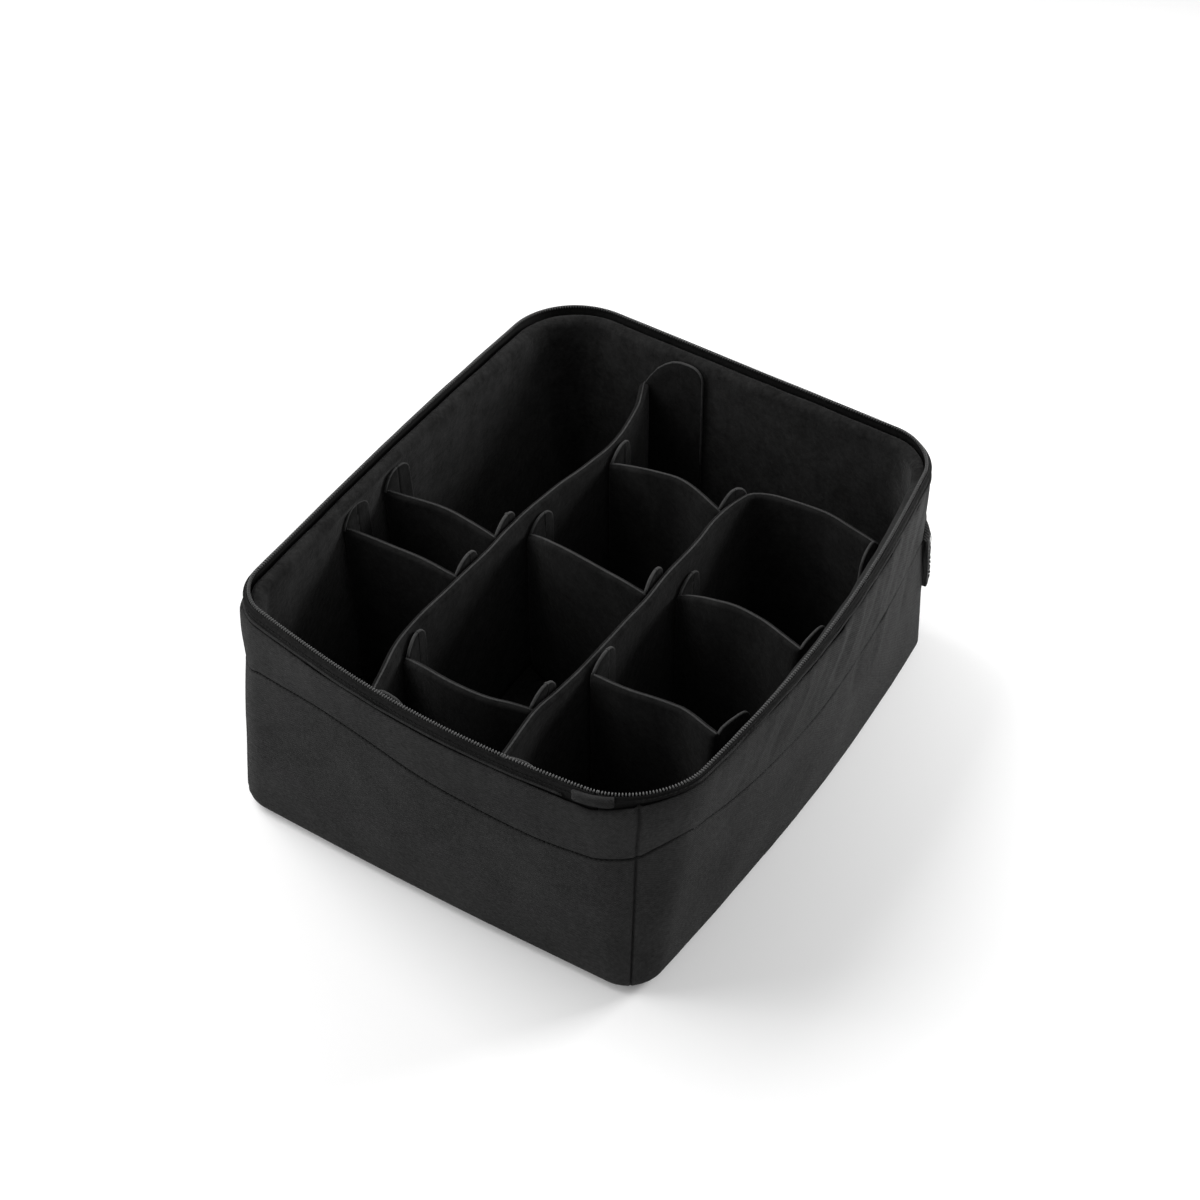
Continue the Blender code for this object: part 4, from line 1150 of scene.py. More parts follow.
@dataclass
class Lining:
    """The velour inside: up the walls, over the soft roll and down to the teeth, and over the floor."""

    spacing: float = 0.0036
    roll_radius: float = 0.0058
    roll_z: float = 0.1445
    foot_z: float = 0.0147
    foot_inset: float = 0.0146
    leaning: float = 0.0036
    skin: float = 0.0012
    floor_z: float = 0.0142
    pad_section: tuple = (
        (0.5, 0.0049), (0.9, 0.0049), (0.985, 0.0055), (0.995, 0.0085), (0.985, 0.0118), (0.9, 0.0122),
        (0.5, 0.0122),
    )
    end_insets: tuple = (0.0034, 0.0027)
    end_heights: tuple = (0.1496, 0.1488)
    flat_roll: tuple = (
        (0.0114, 0.1320), (0.0106, 0.1360), (0.0094, 0.1395), (0.0078, 0.1425), (0.0061, 0.1452),
        (0.0046, 0.1474), (0.0034, 0.1490), (0.0027, 0.1486),
    )

    def wall_inset(self, heights: np.ndarray) -> np.ndarray:
        """The inner face of the lining, which leans outwards as it rises."""
        share = np.clip((heights - self.foot_z) / (self.roll_z - self.foot_z), 0, 1)
        return self.foot_inset - self.leaning * share

    def full_profile(self) -> tuple:
        """Insets and heights up the wall and over the full round roll."""
        low = np.linspace(self.foot_z + 0.0002, self.roll_z, 30)
        angles = np.radians(np.linspace(0, 100, 12))[1:]
        arc_inset = self.foot_inset - self.leaning - self.roll_radius + self.roll_radius * np.cos(angles)
        arc_height = self.roll_z + self.roll_radius * np.sin(angles)
        insets = np.concatenate([self.wall_inset(low), arc_inset, self.end_insets])
        return insets, np.concatenate([low, arc_height, self.end_heights])

    def flat_profile(self, rows: int) -> tuple:
        """Insets and heights where the roll is pressed flat, with as many rows as the full profile."""
        low = np.linspace(self.foot_z + 0.0002, self.flat_roll[0][1], 30)
        roll = np.array(self.flat_roll)
        steps = np.linspace(0, len(roll) - 1, rows - len(low) + 1)[1:]
        inset, height = at_places(steps, np.arange(len(roll)), roll).T
        return np.concatenate([self.wall_inset(low), inset]), np.concatenate([low, height])

    def build(self, wardrobe: Wardrobe) -> None:
        """The wall lining and the floor."""
        columns = even_columns(self.spacing)[:-1]
        form = CaseForm(columns)
        full_insets, full_heights = self.full_profile()
        flat_insets, flat_heights = self.flat_profile(len(full_insets))
        place = (columns + 8) % ALL_COLUMNS
        flat = (rise(place, 6.0, 13.0) * (1 - rise(place, 34.5, 37.5)))[:, None]
        heights = full_heights * (1 - flat) + flat_heights * flat
        insets = full_insets * (1 - flat) + flat_insets * flat
        loop = form.points(np.zeros_like(heights), heights)
        soft = 0.0008 * ripple(loop, (0.035, 0.035, 0.05), 12.3)
        soft = soft + 0.0003 * ripple(loop, (0.012, 0.012, 0.02), 4.1)
        fade = 1 - 0.7 * rise(heights, 0.1435, 0.1495)
        insets = insets + soft * fade * rise(heights, 0.012, 0.03)
        heights = heights + 0.0005 * ripple(loop, (0.02, 0.02, 0.02), 7.7) * rise(heights, 0.140, 0.149)
        insets = insets - pressed(form, heights)
        lining = grid_object("lining_cloth", form.points(insets, heights), Facing.AGAINST, ring_along=True)
        thicken(lining, self.skin)
        dress(lining, wardrobe.lining, Slot.LINING, "root", *node_names("lining"))
        self.build_floor(wardrobe)

    def build_floor(self, wardrobe: Wardrobe) -> None:
        """The floor's velour over its padding, softly full between the walls."""
        form = CaseForm(even_columns(0.010)[:-1])
        shape = (len(form.columns), 1)
        rim = form.points(np.full(shape, 0.0138), np.full(shape, 0.0144))
        middle = rim.mean(axis=0, keepdims=True)
        shares = np.linspace(0, 1, 26)[1:]
        floor = drawn_in(rim, middle, shares)
        floor[..., 2] = 0.0140 + 0.0006 * ripple(floor, (0.04, 0.04, 0.04), 2.2) * (1 - shares**6)
        centre = np.array((*middle[0, 0, :2], self.floor_z))
        piece = grid_object("floor_lining", floor, Facing.AGAINST, ring_along=True, centre=centre)
        thicken(piece, self.skin)
        dress(piece, wardrobe.lining, Slot.LINING, "root", "base_lining")
        shares, heights = np.array(self.pad_section).T
        under = drawn_in(rim, middle, shares)
        under[..., 2] = heights
        padding = grid_object("floor_padding", under, Facing.ALONG, ring_along=True, ring_across=True)
        dress(padding, wardrobe.foam, Slot.FOAM, "root", "base_foam")
        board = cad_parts["base_board"]
        board.data.materials.clear()
        board.data.materials.append(wardrobe.board)


@dataclass
class Handle:
    """The webbing handle on the back wall."""

    width: float = 0.038
    thickness: float = 0.0021
    standoff: float = 0.0088
    wrap: float = 3.9
    doubled: float = 0.0030
    across: tuple = (0.0, 0.02, 0.05, 0.09, 0.2, 0.35, 0.5, 0.65, 0.8, 0.91, 0.95, 0.98, 1.0)
    full: tuple = (0.5, 0.95, 1.0, 0.86, 0.84, 0.86, 0.84, 0.86, 0.84, 0.86, 1.0, 0.95, 0.5)
    sewn_near: float = 0.004
    sewn_far: float = 0.024
    sewn_edge: float = 0.005

    def build(self, wardrobe: Wardrobe) -> None:
        """The strap, thicker at its woven edges and doubled inwards at its ends, and its sewing."""
        start = Side.BACK.value * SIDE_COLUMNS
        form = CaseForm(even_columns(0.0022, start - self.wrap, start + SIDE_COLUMNS + self.wrap))
        top = float(seam_heights(np.array([float(start)]))[0]) - 0.001
        share = np.clip((form.columns - start) / SIDE_COLUMNS, 0, 1)
        slack = self.standoff * (1 - np.abs(1 - 2 * share) ** 3)
        half = np.array(self.full) * self.thickness / 2
        place = np.concatenate([self.across, self.across[::-1]])
        depth = np.concatenate([-half, half[::-1]])
        heights = np.broadcast_to(top - self.width + place * self.width, (len(share), len(place)))
        middle = np.full((len(share), 1), top - self.width / 2)
        cover = OuterCover().insets(form, middle, seam_heights(form.columns)) + corner_pull(form, middle)
        centre = np.minimum(-0.0014 - slack[:, None], cover - 0.0015) - 0.0004 * np.sin(math.pi * place)
        sway = 0.0008 * np.sin((form.columns - start) * 0.56)[:, None]
        end = np.minimum(form.lengths - form.lengths[0], form.lengths[-1] - form.lengths)
        folded = self.doubled * (1 - rise(end, 0.020, 0.032))[:, None] * (depth > 0)
        points = form.points(centre + depth + folded, heights + sway)
        strap = grid_object("handle_strap", points, ring_across=True, close_ends=True)
        dress(strap, wardrobe.webbing, Slot.WEBBING, "root", "handle_webbing")
        self.sew(form, centre, top, wardrobe)

    def sew(self, form: CaseForm, centre: np.ndarray, top: float, wardrobe: Wardrobe) -> None:
        """A boxed cross of thread at each end of the strap."""
        low, high = top - self.width + self.sewn_edge, top - self.sewn_edge
        near, far = self.sewn_near, self.sewn_far
        whole = form.lengths[-1]
        for name, start, end in (("right", near, far), ("left", whole - far, whole - near)):
            box = [(start, low), (start, high), (end, high), (end, low), (start, low)]
            corners = np.array(box + [(end, high), (start, high), (end, low)])
            steps = np.linspace(0, 1, 9)[:-1]
            spots = np.concatenate([a + (b - a) * steps[:, None] for a, b in zip(corners, corners[1:])])
            columns = np.interp(spots[:, 0], form.lengths, form.columns)
            inset = np.interp(columns, form.columns, centre[:, 6]) - 0.0012
            points = CaseForm(columns).points(inset[:, None], spots[:, 1:])[:, 0]
            ups = np.broadcast_to(np.array((0.0, 1.0, 0.0)), points.shape)
            dress(stitches(f"handle_sewing_{name}", points, ups), wardrobe.thread, Slot.WEBBING, "root")


# The dividers


@dataclass(frozen=True)
class FlapPlan:
    """Where one flap lies, in millimetres: its line on the floor, how far its top leans, and its shape."""

    end: str
    foot: tuple
    top: float
    width: float
    rise: float = 8.0
    slope: float = 11.0
    fall: float = 0.0
    leans: tuple = (LEVEL, LEVEL)


@dataclass(frozen=True)
class DividerPlan:
    """Where one divider stands: its path on the floor and its ends' lean, in millimetres, and its droops.

    A droop is how far the top edge dips at one end, as a share of the case's height.
    """

    name: str
    path: tuple
    flaps: tuple
    start_lean: tuple = LEVEL
    end_lean: tuple = LEVEL
    droops: tuple = LEVEL


DIVIDERS = (
    DividerPlan(
        "long_left",
        path=(
            (-37.9, -163.3), (-41.8, -150.8), (-48.7, -127.5), (-51.8, -105.1), (-52.1, -80.7),
            (-51.8, -54.7), (-52.4, -31.2), (-53.6, -10.4), (-53.8, 13.0), (-51.6, 39.0), (-48.2, 65.2),
            (-46.3, 86.3), (-47.3, 101.2), (-49.9, 115.1), (-55.8, 135.2), (-62.3, 149.1), (-69.3, 163.1),
        ),
        start_lean=(1.4, -4.3),
        end_lean=(-2.7, 5.4),
        droops=(0.0, 0.07),
        flaps=(
            FlapPlan(
                "start",
                foot=((-34.1, -162.6), (-28.2, -162.8), (-22.2, -162.9), (-16.2, -163.0), (-10.2, -163.1)),
                top=141.0, width=24.0, leans=((1.6, -4.9), (1.4, -6.8)),
            ),
            FlapPlan(
                "end",
                foot=((-64.6, 162.4), (-53.8, 162.4), (-43.1, 162.5), (-32.3, 162.5), (-21.6, 162.5)),
                top=147.6, width=43.0, rise=25.5, slope=28.0, leans=((-3.1, 6.4), (-3.1, 3.9)),
            ),
        ),
    ),
    DividerPlan(
        "long_right",
        path=(
            (49.6, -163.8), (48.3, -154.2), (45.8, -129.9), (46.9, -109.1), (48.5, -88.3), (48.5, -65.0),
            (47.7, -41.6), (47.8, -20.8), (46.4, 0.1), (45.7, 20.9), (45.8, 41.7), (44.5, 61.0),
            (45.5, 77.0), (47.6, 86.1), (49.9, 91.6), (53.7, 94.6), (58.3, 96.8), (72.8, 99.8),
            (95.1, 101.0), (119.3, 96.0), (130.1, 92.9),
        ),
        start_lean=(1.2, -8.7),
        end_lean=(5.0, -1.4),
        flaps=(
            FlapPlan(
                "start",
                foot=((53.1, -163.1), (59.1, -163.1), (65.1, -162.9), (71.1, -162.8), (77.1, -162.7)),
                top=141.0, width=24.0, leans=((1.2, -9.0), (1.1, -8.4)),
            ),
            FlapPlan(
                "end",
                foot=((129.5, 89.1), (129.9, 83.1), (130.2, 77.2), (130.5, 71.2), (130.7, 65.2)),
                top=141.0, width=24.0, leans=((5.4, -1.6), (7.3, -1.4)),
            ),
        ),
    ),
    DividerPlan(
        "left_front",
        path=(
            (-130.6, -62.4), (-115.5, -62.1), (-104.0, -61.9), (-91.3, -61.5), (-78.5, -61.0),
            (-65.7, -60.4), (-56.4, -60.0),
        ),
        start_lean=(-4.8, -0.6),
        droops=(0.002, 0.026),
        flaps=(
            FlapPlan(
                "start",
                foot=((-129.7, -58.9), (-129.9, -52.9), (-130.2, -46.9), (-130.4, -40.9), (-130.5, -35.0)),
                top=142.6, width=16.5, rise=10.6, slope=5.5, leans=((-5.4, -0.6), (-5.6, 0.1)),
            ),
            FlapPlan(
                "end",
                foot=((-57.4, -56.5), (-57.4, -51.3), (-57.5, -46.0), (-57.6, -40.8), (-57.8, -35.6)),
                top=136.9, width=21.0,
            ),
        ),
    ),
    DividerPlan(
        "left_back",
        path=(
            (-131.7, -20.0), (-115.5, -18.3), (-104.0, -17.1), (-92.1, -16.9), (-80.1, -17.5),
            (-68.1, -18.4), (-57.7, -19.2),
        ),
        start_lean=(-5.6, -1.4),
        droops=(0.002, 0.026),
        flaps=(
            FlapPlan(
                "start",
                foot=((-130.8, -16.3), (-130.9, -10.3), (-131.0, -4.3), (-131.1, 1.7), (-131.0, 7.7)),
                top=142.0, width=17.0, rise=9.8, slope=5.5, leans=((-5.9, -1.4), (-6.2, -0.2)),
            ),
            FlapPlan(
                "end",
                foot=((-58.9, -15.5), (-59.2, -10.2), (-59.5, -4.9), (-59.7, 0.4), (-59.6, 5.7)),
                top=136.9, width=21.0,
            ),
        ),
    ),
    DividerPlan(
        "middle_front",
        path=(
            (-44.0, -127.0), (-33.9, -130.1), (-23.0, -133.4), (-15.4, -135.4), (-7.8, -136.7),
            (-0.4, -137.1), (7.1, -136.7), (13.4, -136.0), (19.6, -134.8), (29.5, -131.3), (41.2, -127.2),
        ),
        droops=(0.058, 0.026),
        flaps=(
            FlapPlan(
                "start",
                foot=((-43.9, -122.9), (-45.0, -117.8), (-45.6, -112.9), (-46.0, -107.7), (-46.2, -102.5)),
                top=132.0, width=21.0,
            ),
            FlapPlan(
                "end",
                foot=((40.3, -123.5), (40.6, -118.1), (41.0, -112.8), (41.4, -107.6), (41.9, -102.4)),
                top=136.9, width=21.0,
            ),
        ),
    ),
    DividerPlan(
        "middle_centre",
        path=(
            (-49.4, 3.1), (-38.1, -1.7), (-25.9, -7.0), (-13.1, -9.9), (0.0, -11.5), (10.6, -12.6),
            (21.3, -13.3), (31.9, -13.9), (42.8, -14.4),
        ),
        droops=(0.083, 0.026),
        flaps=(
            FlapPlan(
                "start",
                foot=((-48.4, 6.8), (-48.2, 12.0), (-47.9, 17.2), (-47.6, 22.4), (-47.2, 27.6)),
                top=128.1, width=21.0,
            ),
            FlapPlan(
                "end",
                foot=((41.6, -10.8), (41.2, -5.6), (40.8, -0.3), (40.5, 5.0), (40.2, 10.3)),
                top=136.9, width=21.0,
            ),
        ),
    ),
    DividerPlan(
        "middle_back",
        path=(
            (-42.1, 80.3), (-28.8, 80.7), (-17.6, 81.2), (-6.3, 81.6), (7.2, 82.1), (15.2, 80.7),
            (23.0, 78.5), (33.9, 75.0), (40.4, 72.9),
        ),
        droops=(0.048, 0.026),
        flaps=(
            FlapPlan(
                "start",
                foot=((-40.8, 83.9), (-40.7, 89.3), (-40.8, 94.7), (-41.5, 100.1), (-42.4, 105.4)),
                top=133.5, width=21.0,
            ),
            FlapPlan(
                "end",
                foot=((39.9, 77.0), (40.9, 82.3), (42.2, 87.6), (44.4, 93.1), (48.4, 97.7)),
                top=136.9, width=21.0,
            ),
        ),
    ),
    DividerPlan(
        "right_front",
        path=(
            (53.1, -87.2), (60.7, -88.1), (68.2, -88.9), (81.6, -89.6), (91.5, -88.8), (101.4, -87.7),
            (114.0, -87.5), (123.9, -89.9), (131.0, -91.6),
        ),
        end_lean=(6.5, -4.0),
        droops=(0.02, -0.016),
        flaps=(
            FlapPlan(
                "start",
                foot=((54.3, -83.7), (54.5, -78.4), (54.4, -73.0), (54.2, -67.8), (53.9, -62.5)),
                top=137.9, width=21.0,
            ),
            FlapPlan(
                "end",
                foot=((130.7, -87.7), (131.0, -81.7), (131.3, -75.7), (131.4, -69.8), (131.6, -63.8)),
                top=139.2, width=24.0, rise=3.7, slope=12.0, fall=1.5, leans=((7.6, -4.0), (13.0, -3.1)),
            ),
        ),
    ),
    DividerPlan(
        "right_back",
        path=(
            (50.5, 8.7), (60.4, 5.2), (68.5, 2.4), (73.9, 1.2), (79.4, 0.3), (87.7, 0.3), (96.0, 0.3),
            (106.7, -0.9), (117.3, -3.1), (125.0, -5.4), (133.0, -7.7),
        ),
        end_lean=(8.8, -4.1),
        droops=(0.12, -0.004),
        flaps=(
            FlapPlan(
                "start",
                foot=((51.3, 12.4), (51.3, 17.7), (51.3, 22.9), (51.3, 28.1), (51.4, 33.4)),
                top=122.3, width=21.0,
            ),
            FlapPlan(
                "end",
                foot=((132.5, -3.6), (132.5, 2.3), (132.3, 8.3), (132.2, 14.3), (132.1, 20.3)),
                top=136.4, width=24.0, rise=2.8, slope=12.0, fall=0.5, leans=((9.4, -4.1), (11.8, -3.4)),
            ),
        ),
    ),
)


@dataclass
class PaddedDivider:
    """One padded divider with its edging and its two hook-and-loop flaps."""

    plan: DividerPlan
    seed: float
    thickness: float = 0.006
    foot: float = 0.0149
    top: float = 0.133
    droop_length: float = 0.045
    spacing: float = 0.0035
    levels: int = 16
    edge_round: float = 0.0026
    edge_rows: int = 7
    end_round: float = 0.0028
    end_stations: tuple = (0.0, 0.0006, 0.0014, 0.0026)
    start_lean_length: float = 0.016
    end_lean_length: float = 0.020
    bulge: float = 0.00045
    pinch: float = 0.0007
    wave: float = 0.0007
    edging_size: tuple = (0.00055, 0.0006)
    line: np.ndarray = field(init=False)
    places: np.ndarray = field(init=False)

    def __post_init__(self) -> None:
        """Cut the path finely, with extra stations at its rounded ends."""
        path = np.array(self.plan.path) * MILLIMETRE
        line = smooth_line(path, self.spacing)
        lengths = lengths_along(line)
        near = np.array(self.end_stations)
        inner = lengths[(lengths > 0.004) & (lengths < lengths[-1] - 0.004)]
        places = np.concatenate([near, inner, lengths[-1] - near[::-1]])
        self.line = at_places(places, lengths, line)
        self.places = places

    def droop(self) -> np.ndarray:
        """How much lower the top edge is at each station."""
        start, end = (share * HEIGHT for share in self.plan.droops)
        whole = self.places[-1]
        near_start = np.clip(1 - self.places / self.droop_length, 0, 1) ** 2
        near_end = np.clip(1 - (whole - self.places) / self.droop_length, 0, 1) ** 2
        return start * near_start + end * near_end

    def half(self) -> np.ndarray:
        """Half the thickness at each station: round at both ends."""
        edge = np.minimum(self.places, self.places[-1] - self.places)
        round_end = np.sqrt(np.clip(1 - (1 - edge / self.end_round).clip(0, 1) ** 2, 0.12, 1))
        return self.thickness / 2 * round_end

    def lean(self, share: np.ndarray) -> np.ndarray:
        """How far each station moves as it rises, where its support leans."""
        whole = self.places[-1]
        near_start = np.clip(1 - self.places / self.start_lean_length, 0, 1)[:, None, None]
        near_end = np.clip(1 - (whole - self.places) / self.end_lean_length, 0, 1)[:, None, None]
        start = np.array(self.plan.start_lean) * MILLIMETRE
        end = np.array(self.plan.end_lean) * MILLIMETRE
        return share[..., None] * (near_start * start + near_end * end)

    def sideways(self) -> np.ndarray:
        """The direction to the path's left at each station."""
        way = unit(np.gradient(self.line, axis=0))
        return np.stack([-way[:, 1], way[:, 0]], axis=1)

    def skin(self) -> np.ndarray:
        """Points of the panel: up one face, over the round top edge and down the other face."""
        tops = self.top - self.droop()
        half = self.half()
        angles = np.radians(np.linspace(15, 165, self.edge_rows))
        arc = [(math.cos(angle), 1.0, math.sin(angle)) for angle in angles]
        rising = [(1.0, share, 0.0) for share in np.linspace(0, 1, self.levels)]
        falling = [(-1.0, share, 0.0) for share in np.linspace(1, 0, self.levels)]
        reach, share, over = np.array(rising + arc + falling).T
        body_top = tops - self.edge_round
        heights = self.foot + share * (body_top[:, None] - self.foot) + over * self.edge_round
        place = np.clip((heights - self.foot) / (self.top - self.foot), 0, 1)
        bulge = self.bulge * np.sin(math.pi * place)
        pinch = self.pinch * bump(heights - (tops[:, None] - 0.0045), 0.0018)
        offset = reach * (half[:, None] + (bulge - pinch) * (half[:, None] > 0.002))
        side = self.sideways()
        flat = self.line[:, None] + side[:, None] * offset[..., None] + self.lean(place)
        points = np.concatenate([flat, heights[..., None]], axis=2)
        wave = self.wave * ripple(points, (0.030, 0.030, 0.05), self.seed) * rise(place, 0.0, 0.4)
        free = np.minimum(self.places, self.places[-1] - self.places)
        wave = wave * rise(free, 0.0, 0.012)[:, None]
        points[..., :2] += side[:, None] * wave[..., None]
        points[..., 2] += 0.0006 * ripple(points, (0.025, 0.025, 1.0), self.seed + 2) * rise(place, 0.85, 1.0)
        return points

    def build(self, wardrobe: Wardrobe) -> None:
        """The panel, its edging and both flaps."""
        name = self.plan.name
        points = self.skin()
        panel = grid_object(f"{name}_pad", points, Facing.ALONG, ring_across=True, close_ends=True)
        dress(panel, wardrobe.divider, Slot.DIVIDER, name, f"{name}_panel")
        middle = self.levels + self.edge_rows // 2
        crest = points[:, middle] + np.array((0.0, 0.0, 0.0001))
        # The tape along the crest is lighter than the velour: partly its own grey, partly a painted highlight
        # on the top edge.
        edging_and_highlight = edge_tape(f"{name}_edging", crest, self.sideways(), *self.edging_size)
        dress(edging_and_highlight, wardrobe.binding_and_highlight, Slot.DIVIDER, name)
        for flap in self.plan.flaps:
            FlapCloth(name, flap, self.seed + 5).build(wardrobe)


def edge_tape(
    name: str, crest: np.ndarray, sides: np.ndarray, half: float, height: float
) -> bpy.types.Object:
    """A narrow rounded tape along a top edge, lighter than the velour under it: partly its own grey, partly a
    painted highlight.
    """
    angles = np.radians((-30, 15, 60, 90, 120, 165, 210))
    rows = []
    for angle in angles:
        across = half * math.cos(angle)
        up = height * (math.sin(angle) - 0.35)
        offset = np.concatenate([sides * across, np.full((len(crest), 1), up)], axis=1)
        rows.append(crest + offset)
    return grid_object(name, np.stack(rows, axis=1), ring_across=True, close_ends=True)


@dataclass
class FlapCloth:
    """A thin velour flap with a bound edge, sewn to its divider along a fold; the bound edge is lighter than
    the velour, partly as a painted highlight.
    """

    divider: str
    plan: FlapPlan
    seed: float
    thickness: float = 0.0019
    foot: float = 0.020
    corner: float = 0.008
    root: float = 0.0037
    wander: float = 0.0005
    levels: int = 18
    fold_row: int = 2
    crease_start: float = 0.0002
    crease_width: float = 0.0036
    rim_share: float = 0.55
    rim_height: float = 0.0004
    edging_size: tuple = (0.0010, 0.0007)

    def build(self, wardrobe: Wardrobe) -> None:
        """The flap and its edging."""
        node = f"{self.divider}_flap_{self.plan.end}"
        centre, normal = self.surface()
        thick = normal * (self.thickness / 2)
        top = centre[:, -1:] + np.array((0, 0, self.rim_height))
        rim = thick * self.rim_share
        ring = np.concatenate([centre + thick, top + rim, top - rim, (centre - thick)[:, ::-1]], axis=1)
        flap = grid_object(f"{node}_cloth", ring, Facing.AGAINST, ring_across=True, close_ends=True)
        edging_and_highlight = self.edging_and_highlight(f"{node}_edging", self.border(centre), normal)
        for piece, material in ((flap, wardrobe.flap), (edging_and_highlight, wardrobe.binding_and_highlight)):
            piece.data.materials.append(material)
            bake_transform(piece)
        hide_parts(node)

    def crease(self, centre: np.ndarray) -> tuple:
        """Where the sewn root ends and where the swinging part begins, straight across the fold."""
        foot = Vector(centre[self.fold_row, 0])
        fold = (Vector(centre[self.fold_row, -1]) - foot).normalized()
        way = (Vector(centre[-1, 0]) - foot).normalized()
        across = (way - fold * way.dot(fold)).normalized()
        return tuple(foot + across * self.crease_start), tuple(foot + across * self.crease_width)

    def stations(self) -> np.ndarray:
        """Places along the flap's width: its sewn root, its fold, its flat part and its round free corner."""
        slope = self.plan.slope * MILLIMETRE
        corner_start = self.plan.width * MILLIMETRE - self.root - self.corner
        bend = np.linspace(0, slope, 6)
        straight = np.linspace(slope, corner_start, 5)[1:]
        free = corner_start + self.corner * np.sin(np.radians(np.linspace(0, 90, 7)))[1:]
        return np.concatenate([[-self.root, -self.root / 2], bend, straight, free])

    def tops(self, along: np.ndarray) -> np.ndarray:
        """The height of the top edge at each place along the width."""
        plan = self.plan
        slope = plan.slope * MILLIMETRE
        edge = plan.width * MILLIMETRE - self.root
        fold_left = np.clip((slope - along) / (slope + self.root), 0, 1)
        free_left = np.clip(along - edge + self.corner, 0, self.corner)
        drop = plan.rise * MILLIMETRE * fold_left**2.4 + self.corner - np.sqrt(self.corner**2 - free_left**2)
        drop = drop + plan.fall * MILLIMETRE * np.clip(along, 0, edge) / edge
        wavy = np.array([noise.noise(Vector((place * 140, self.seed, 0.5))) for place in along])
        return plan.top * MILLIMETRE - drop + self.wander * wavy * rise(along, 0.0, 0.006)

    def surface(self) -> tuple:
        """The flap's middle surface and its normals."""
        width = self.plan.width * MILLIMETRE
        foot = np.array(self.plan.foot) * MILLIMETRE
        first, last = (np.array(lean) * MILLIMETRE for lean in self.plan.leans)
        along = self.stations()
        places = np.linspace(0, width, len(foot))
        line = np.stack([extended(along, places, foot[:, axis]) for axis in range(2)], axis=1)
        share = np.clip(along / width, 0, 1)[:, None]
        lean = first * (1 - share) + last * share
        heights = self.foot + np.linspace(0, 1, self.levels) * (self.tops(along)[:, None] - self.foot)
        rising = (heights - self.foot) / (self.plan.top * MILLIMETRE - self.foot)
        flat = line[:, None] + lean[:, None] * rising[..., None]
        centre = np.concatenate([flat, heights[..., None]], axis=2)
        way = unit(np.gradient(line, axis=0))
        normal = np.stack([-way[:, 1], way[:, 0], np.zeros(len(way))], axis=1)[:, None]
        wave = 0.0005 * ripple(centre, (0.018, 0.018, 0.03), self.seed)
        centre = centre + normal * wave[..., None]
        return centre, normal

    def border(self, centre: np.ndarray) -> np.ndarray:
        """The line along the flap's top edge and down its free edge."""
        return np.concatenate([centre[:, -1], centre[-1, -2::-1][: self.levels // 2]])

    def edging_and_highlight(self, name: str, line: np.ndarray, normal: np.ndarray) -> bpy.types.Object:
        """A thin bound edge along a line, flat across the flap's thickness; its lighter colour is partly a
        painted highlight.
        """
        across = normal[:, 0]
        extra = len(line) - len(across)
        across = np.concatenate([across, np.repeat(across[-1:], extra, axis=0)])
        out = unit(np.cross(unit(np.gradient(line, axis=0)), across))
        wide, high = self.edging_size
        rows = []
        for angle in np.radians((0, 60, 120, 180, 240, 300)):
            rows.append(line + across * wide * math.cos(angle) + out * high * math.sin(angle))
        return grid_object(name, np.stack(rows, axis=1), ring_across=True, close_ends=True)


def extended(places: np.ndarray, knots: np.ndarray, values: np.ndarray) -> np.ndarray:
    """Values between knots, carried straight on beyond them."""
    inside = np.interp(places, knots, values)
    start = (values[1] - values[0]) / (knots[1] - knots[0])
    end = (values[-1] - values[-2]) / (knots[-1] - knots[-2])
    before = np.minimum(places - knots[0], 0) * start
    after = np.maximum(places - knots[-1], 0) * end
    return inside + before + after


# The studio


@dataclass(frozen=True)
class Lamp:
    """A soft square lamp that looks at a target."""

    name: str
    place: tuple
    size: float
    power: float
    target: tuple = (0.0, 0.0, 0.06)

    def build(self) -> None:
        """Hang the lamp."""
        data = bpy.data.lights.new(self.name, "AREA")
        data.size = self.size
        data.energy = self.power
        obj = bpy.data.objects.new(self.name, data)
        obj.location = self.place
        way = Vector(self.target) - Vector(self.place)
        obj.rotation_euler = way.to_track_quat("-Z", "Y").to_euler()
        obj.visible_camera = False
        bpy.context.collection.objects.link(obj)


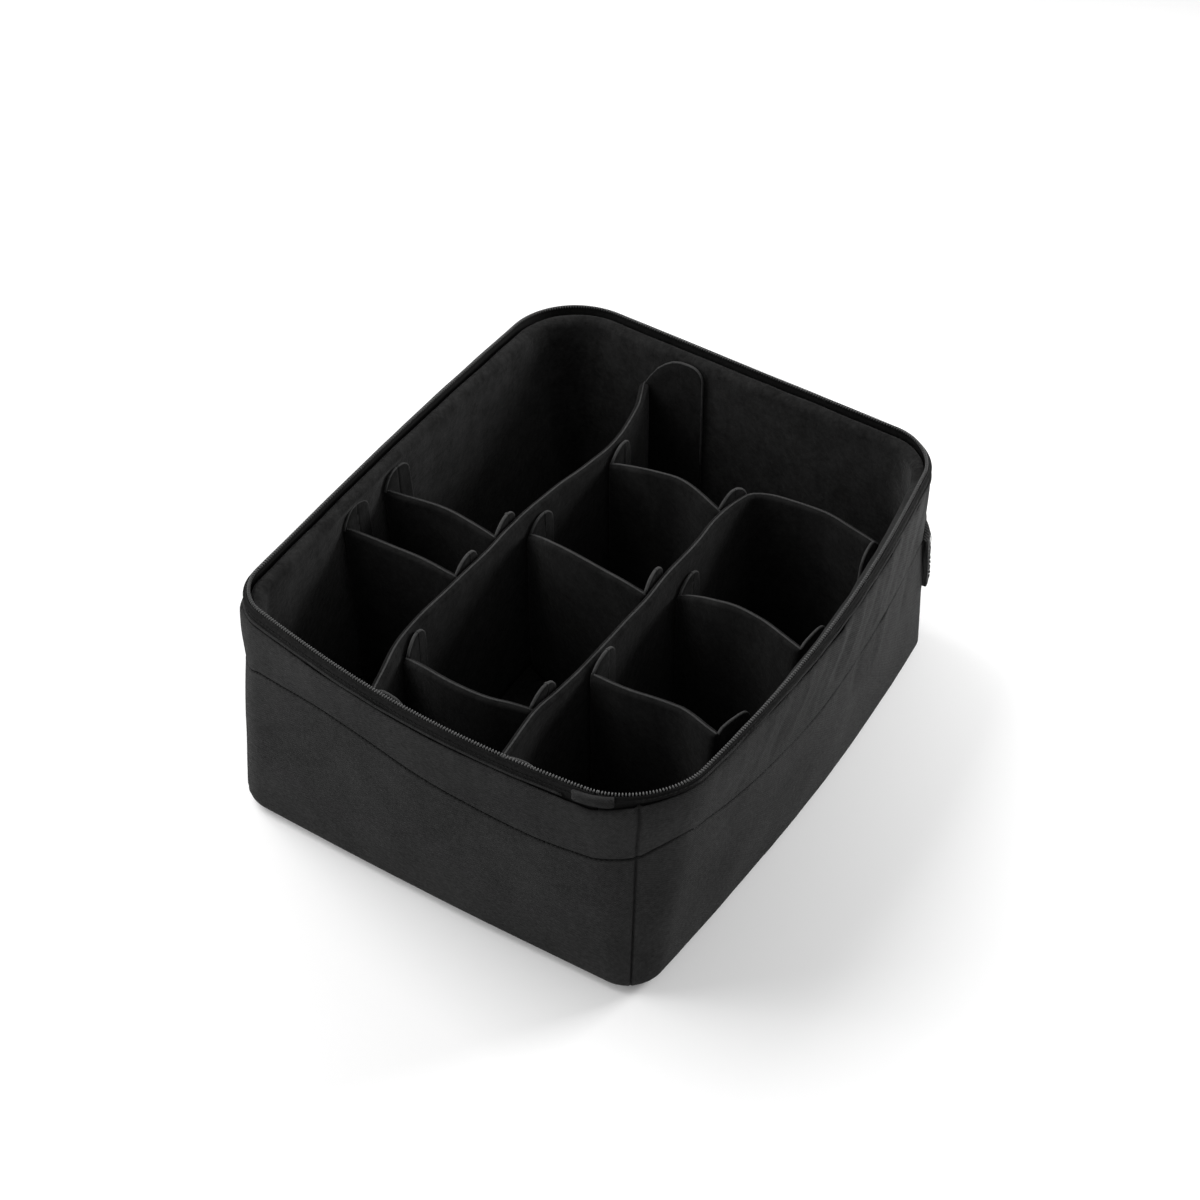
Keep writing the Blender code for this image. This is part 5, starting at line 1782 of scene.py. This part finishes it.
@dataclass
class Studio:
    """The pale floor, the white surroundings, the lamps and the camera."""

    sky: float = 0.35
    floor_half: float = 6.0
    floor_glow: float = 0.10
    lamps: tuple = (
        Lamp("Key lamp", (-1.1, -0.2, 1.6), 1.4, 30.0),
        Lamp("Side lamp", (0.6, 0.78, 0.4), 0.4, 10.0),
        Lamp("Fill lamp", (-0.75, -0.7, 0.45), 0.4, 2.8),
    )
    eye: tuple = (0.54259243, -0.8309022, 0.9666727)
    right: tuple = (0.84025846, 0.54217084, -0.00406252)
    up: tuple = (-0.3555336, 0.55663339, 0.75083629)
    back: tuple = (0.40934288, -0.62945218, 0.66047587)
    sensor: float = 36.0
    focal_pixels: float = 2233.9178
    photo_pixels: float = 1200.0

    def build(self) -> None:
        """Set up the whole studio."""
        self.build_camera()
        self.build_world()
        self.build_floor()
        for lamp in self.lamps:
            lamp.build()
        bpy.context.scene.view_settings.view_transform = "Standard"

    def build_camera(self) -> None:
        """The camera at the photograph's place and angle."""
        data = bpy.data.cameras.new("Photo camera")
        data.lens = self.focal_pixels / self.photo_pixels * self.sensor
        data.sensor_width = self.sensor
        data.clip_start = 0.01
        data.clip_end = 50
        camera = bpy.data.objects.new("Photo camera", data)
        axes = Matrix((self.right, self.up, self.back)).transposed().to_4x4()
        camera.matrix_world = Matrix.Translation(self.eye) @ axes
        bpy.context.collection.objects.link(camera)
        bpy.context.scene.camera = camera

    def build_world(self) -> None:
        """White where it is seen, and a softer light on the object."""
        world = bpy.data.worlds.new("Studio")
        world.use_nodes = True
        bpy.context.scene.world = world
        graph = Graph(world.node_tree)
        shader = world.node_tree.nodes["Background"]
        graph.fill(shader, {"Color": grey(1.0)})
        graph.fill(shader, {"Strength": self.seen_strength(graph, 1.0, self.sky)})

    def seen_strength(self, graph: Graph, seen: float, other: float) -> bpy.types.NodeSocket:
        """One strength for what is seen or mirrored, and another for the light."""
        path = graph.node("ShaderNodeLightPath")
        mirrored = graph.math("MAXIMUM", path.outputs["Is Glossy Ray"], path.outputs["Is Transmission Ray"])
        shown = graph.math("MAXIMUM", path.outputs["Is Camera Ray"], mirrored)
        return graph.range(shown, 0.0, 1.0, other, seen)

    def build_floor(self) -> None:
        """A pale floor that keeps the shadow and glows a little where it is seen."""
        corners = [(self.floor_half * x, self.floor_half * y, 0.0) for x, y in CORNER_SIGNS]
        floor = link_mesh("studio_floor", corners, [(0, 1, 2, 3)], smooth=False)
        made = bpy.data.materials.new("Studio floor")
        made.use_nodes = True
        graph = Graph(made.node_tree)
        shader = made.node_tree.nodes["Principled BSDF"]
        paper = graph.mix(graph.noise(graph.place(), 300.0, 2.0), grey(0.90), grey(0.93))
        graph.fill(shader, {"Base Color": paper, "Roughness": 0.9, "Specular IOR Level": 0.2})
        glow = self.seen_strength(graph, self.floor_glow, 0.0)
        graph.fill(shader, {"Emission Color": grey(1.0), "Emission Strength": glow})
        floor.data.materials.append(made)


def main() -> None:
    """Build the studio and every sub-assembly in order."""
    logging.basicConfig(level=logging.INFO, format="%(name)s: %(message)s")
    Studio().build()
    wardrobe = Wardrobe()
    OuterCover().build(wardrobe)
    RimBand().build(wardrobe)
    Zip().build(wardrobe)
    WallPadding().build(wardrobe)
    Lining().build(wardrobe)
    Handle().build(wardrobe)
    for index, plan in enumerate(DIVIDERS):
        PaddedDivider(plan, 20.0 + 3.7 * index).build(wardrobe)


if __name__ == "__main__":
    main()
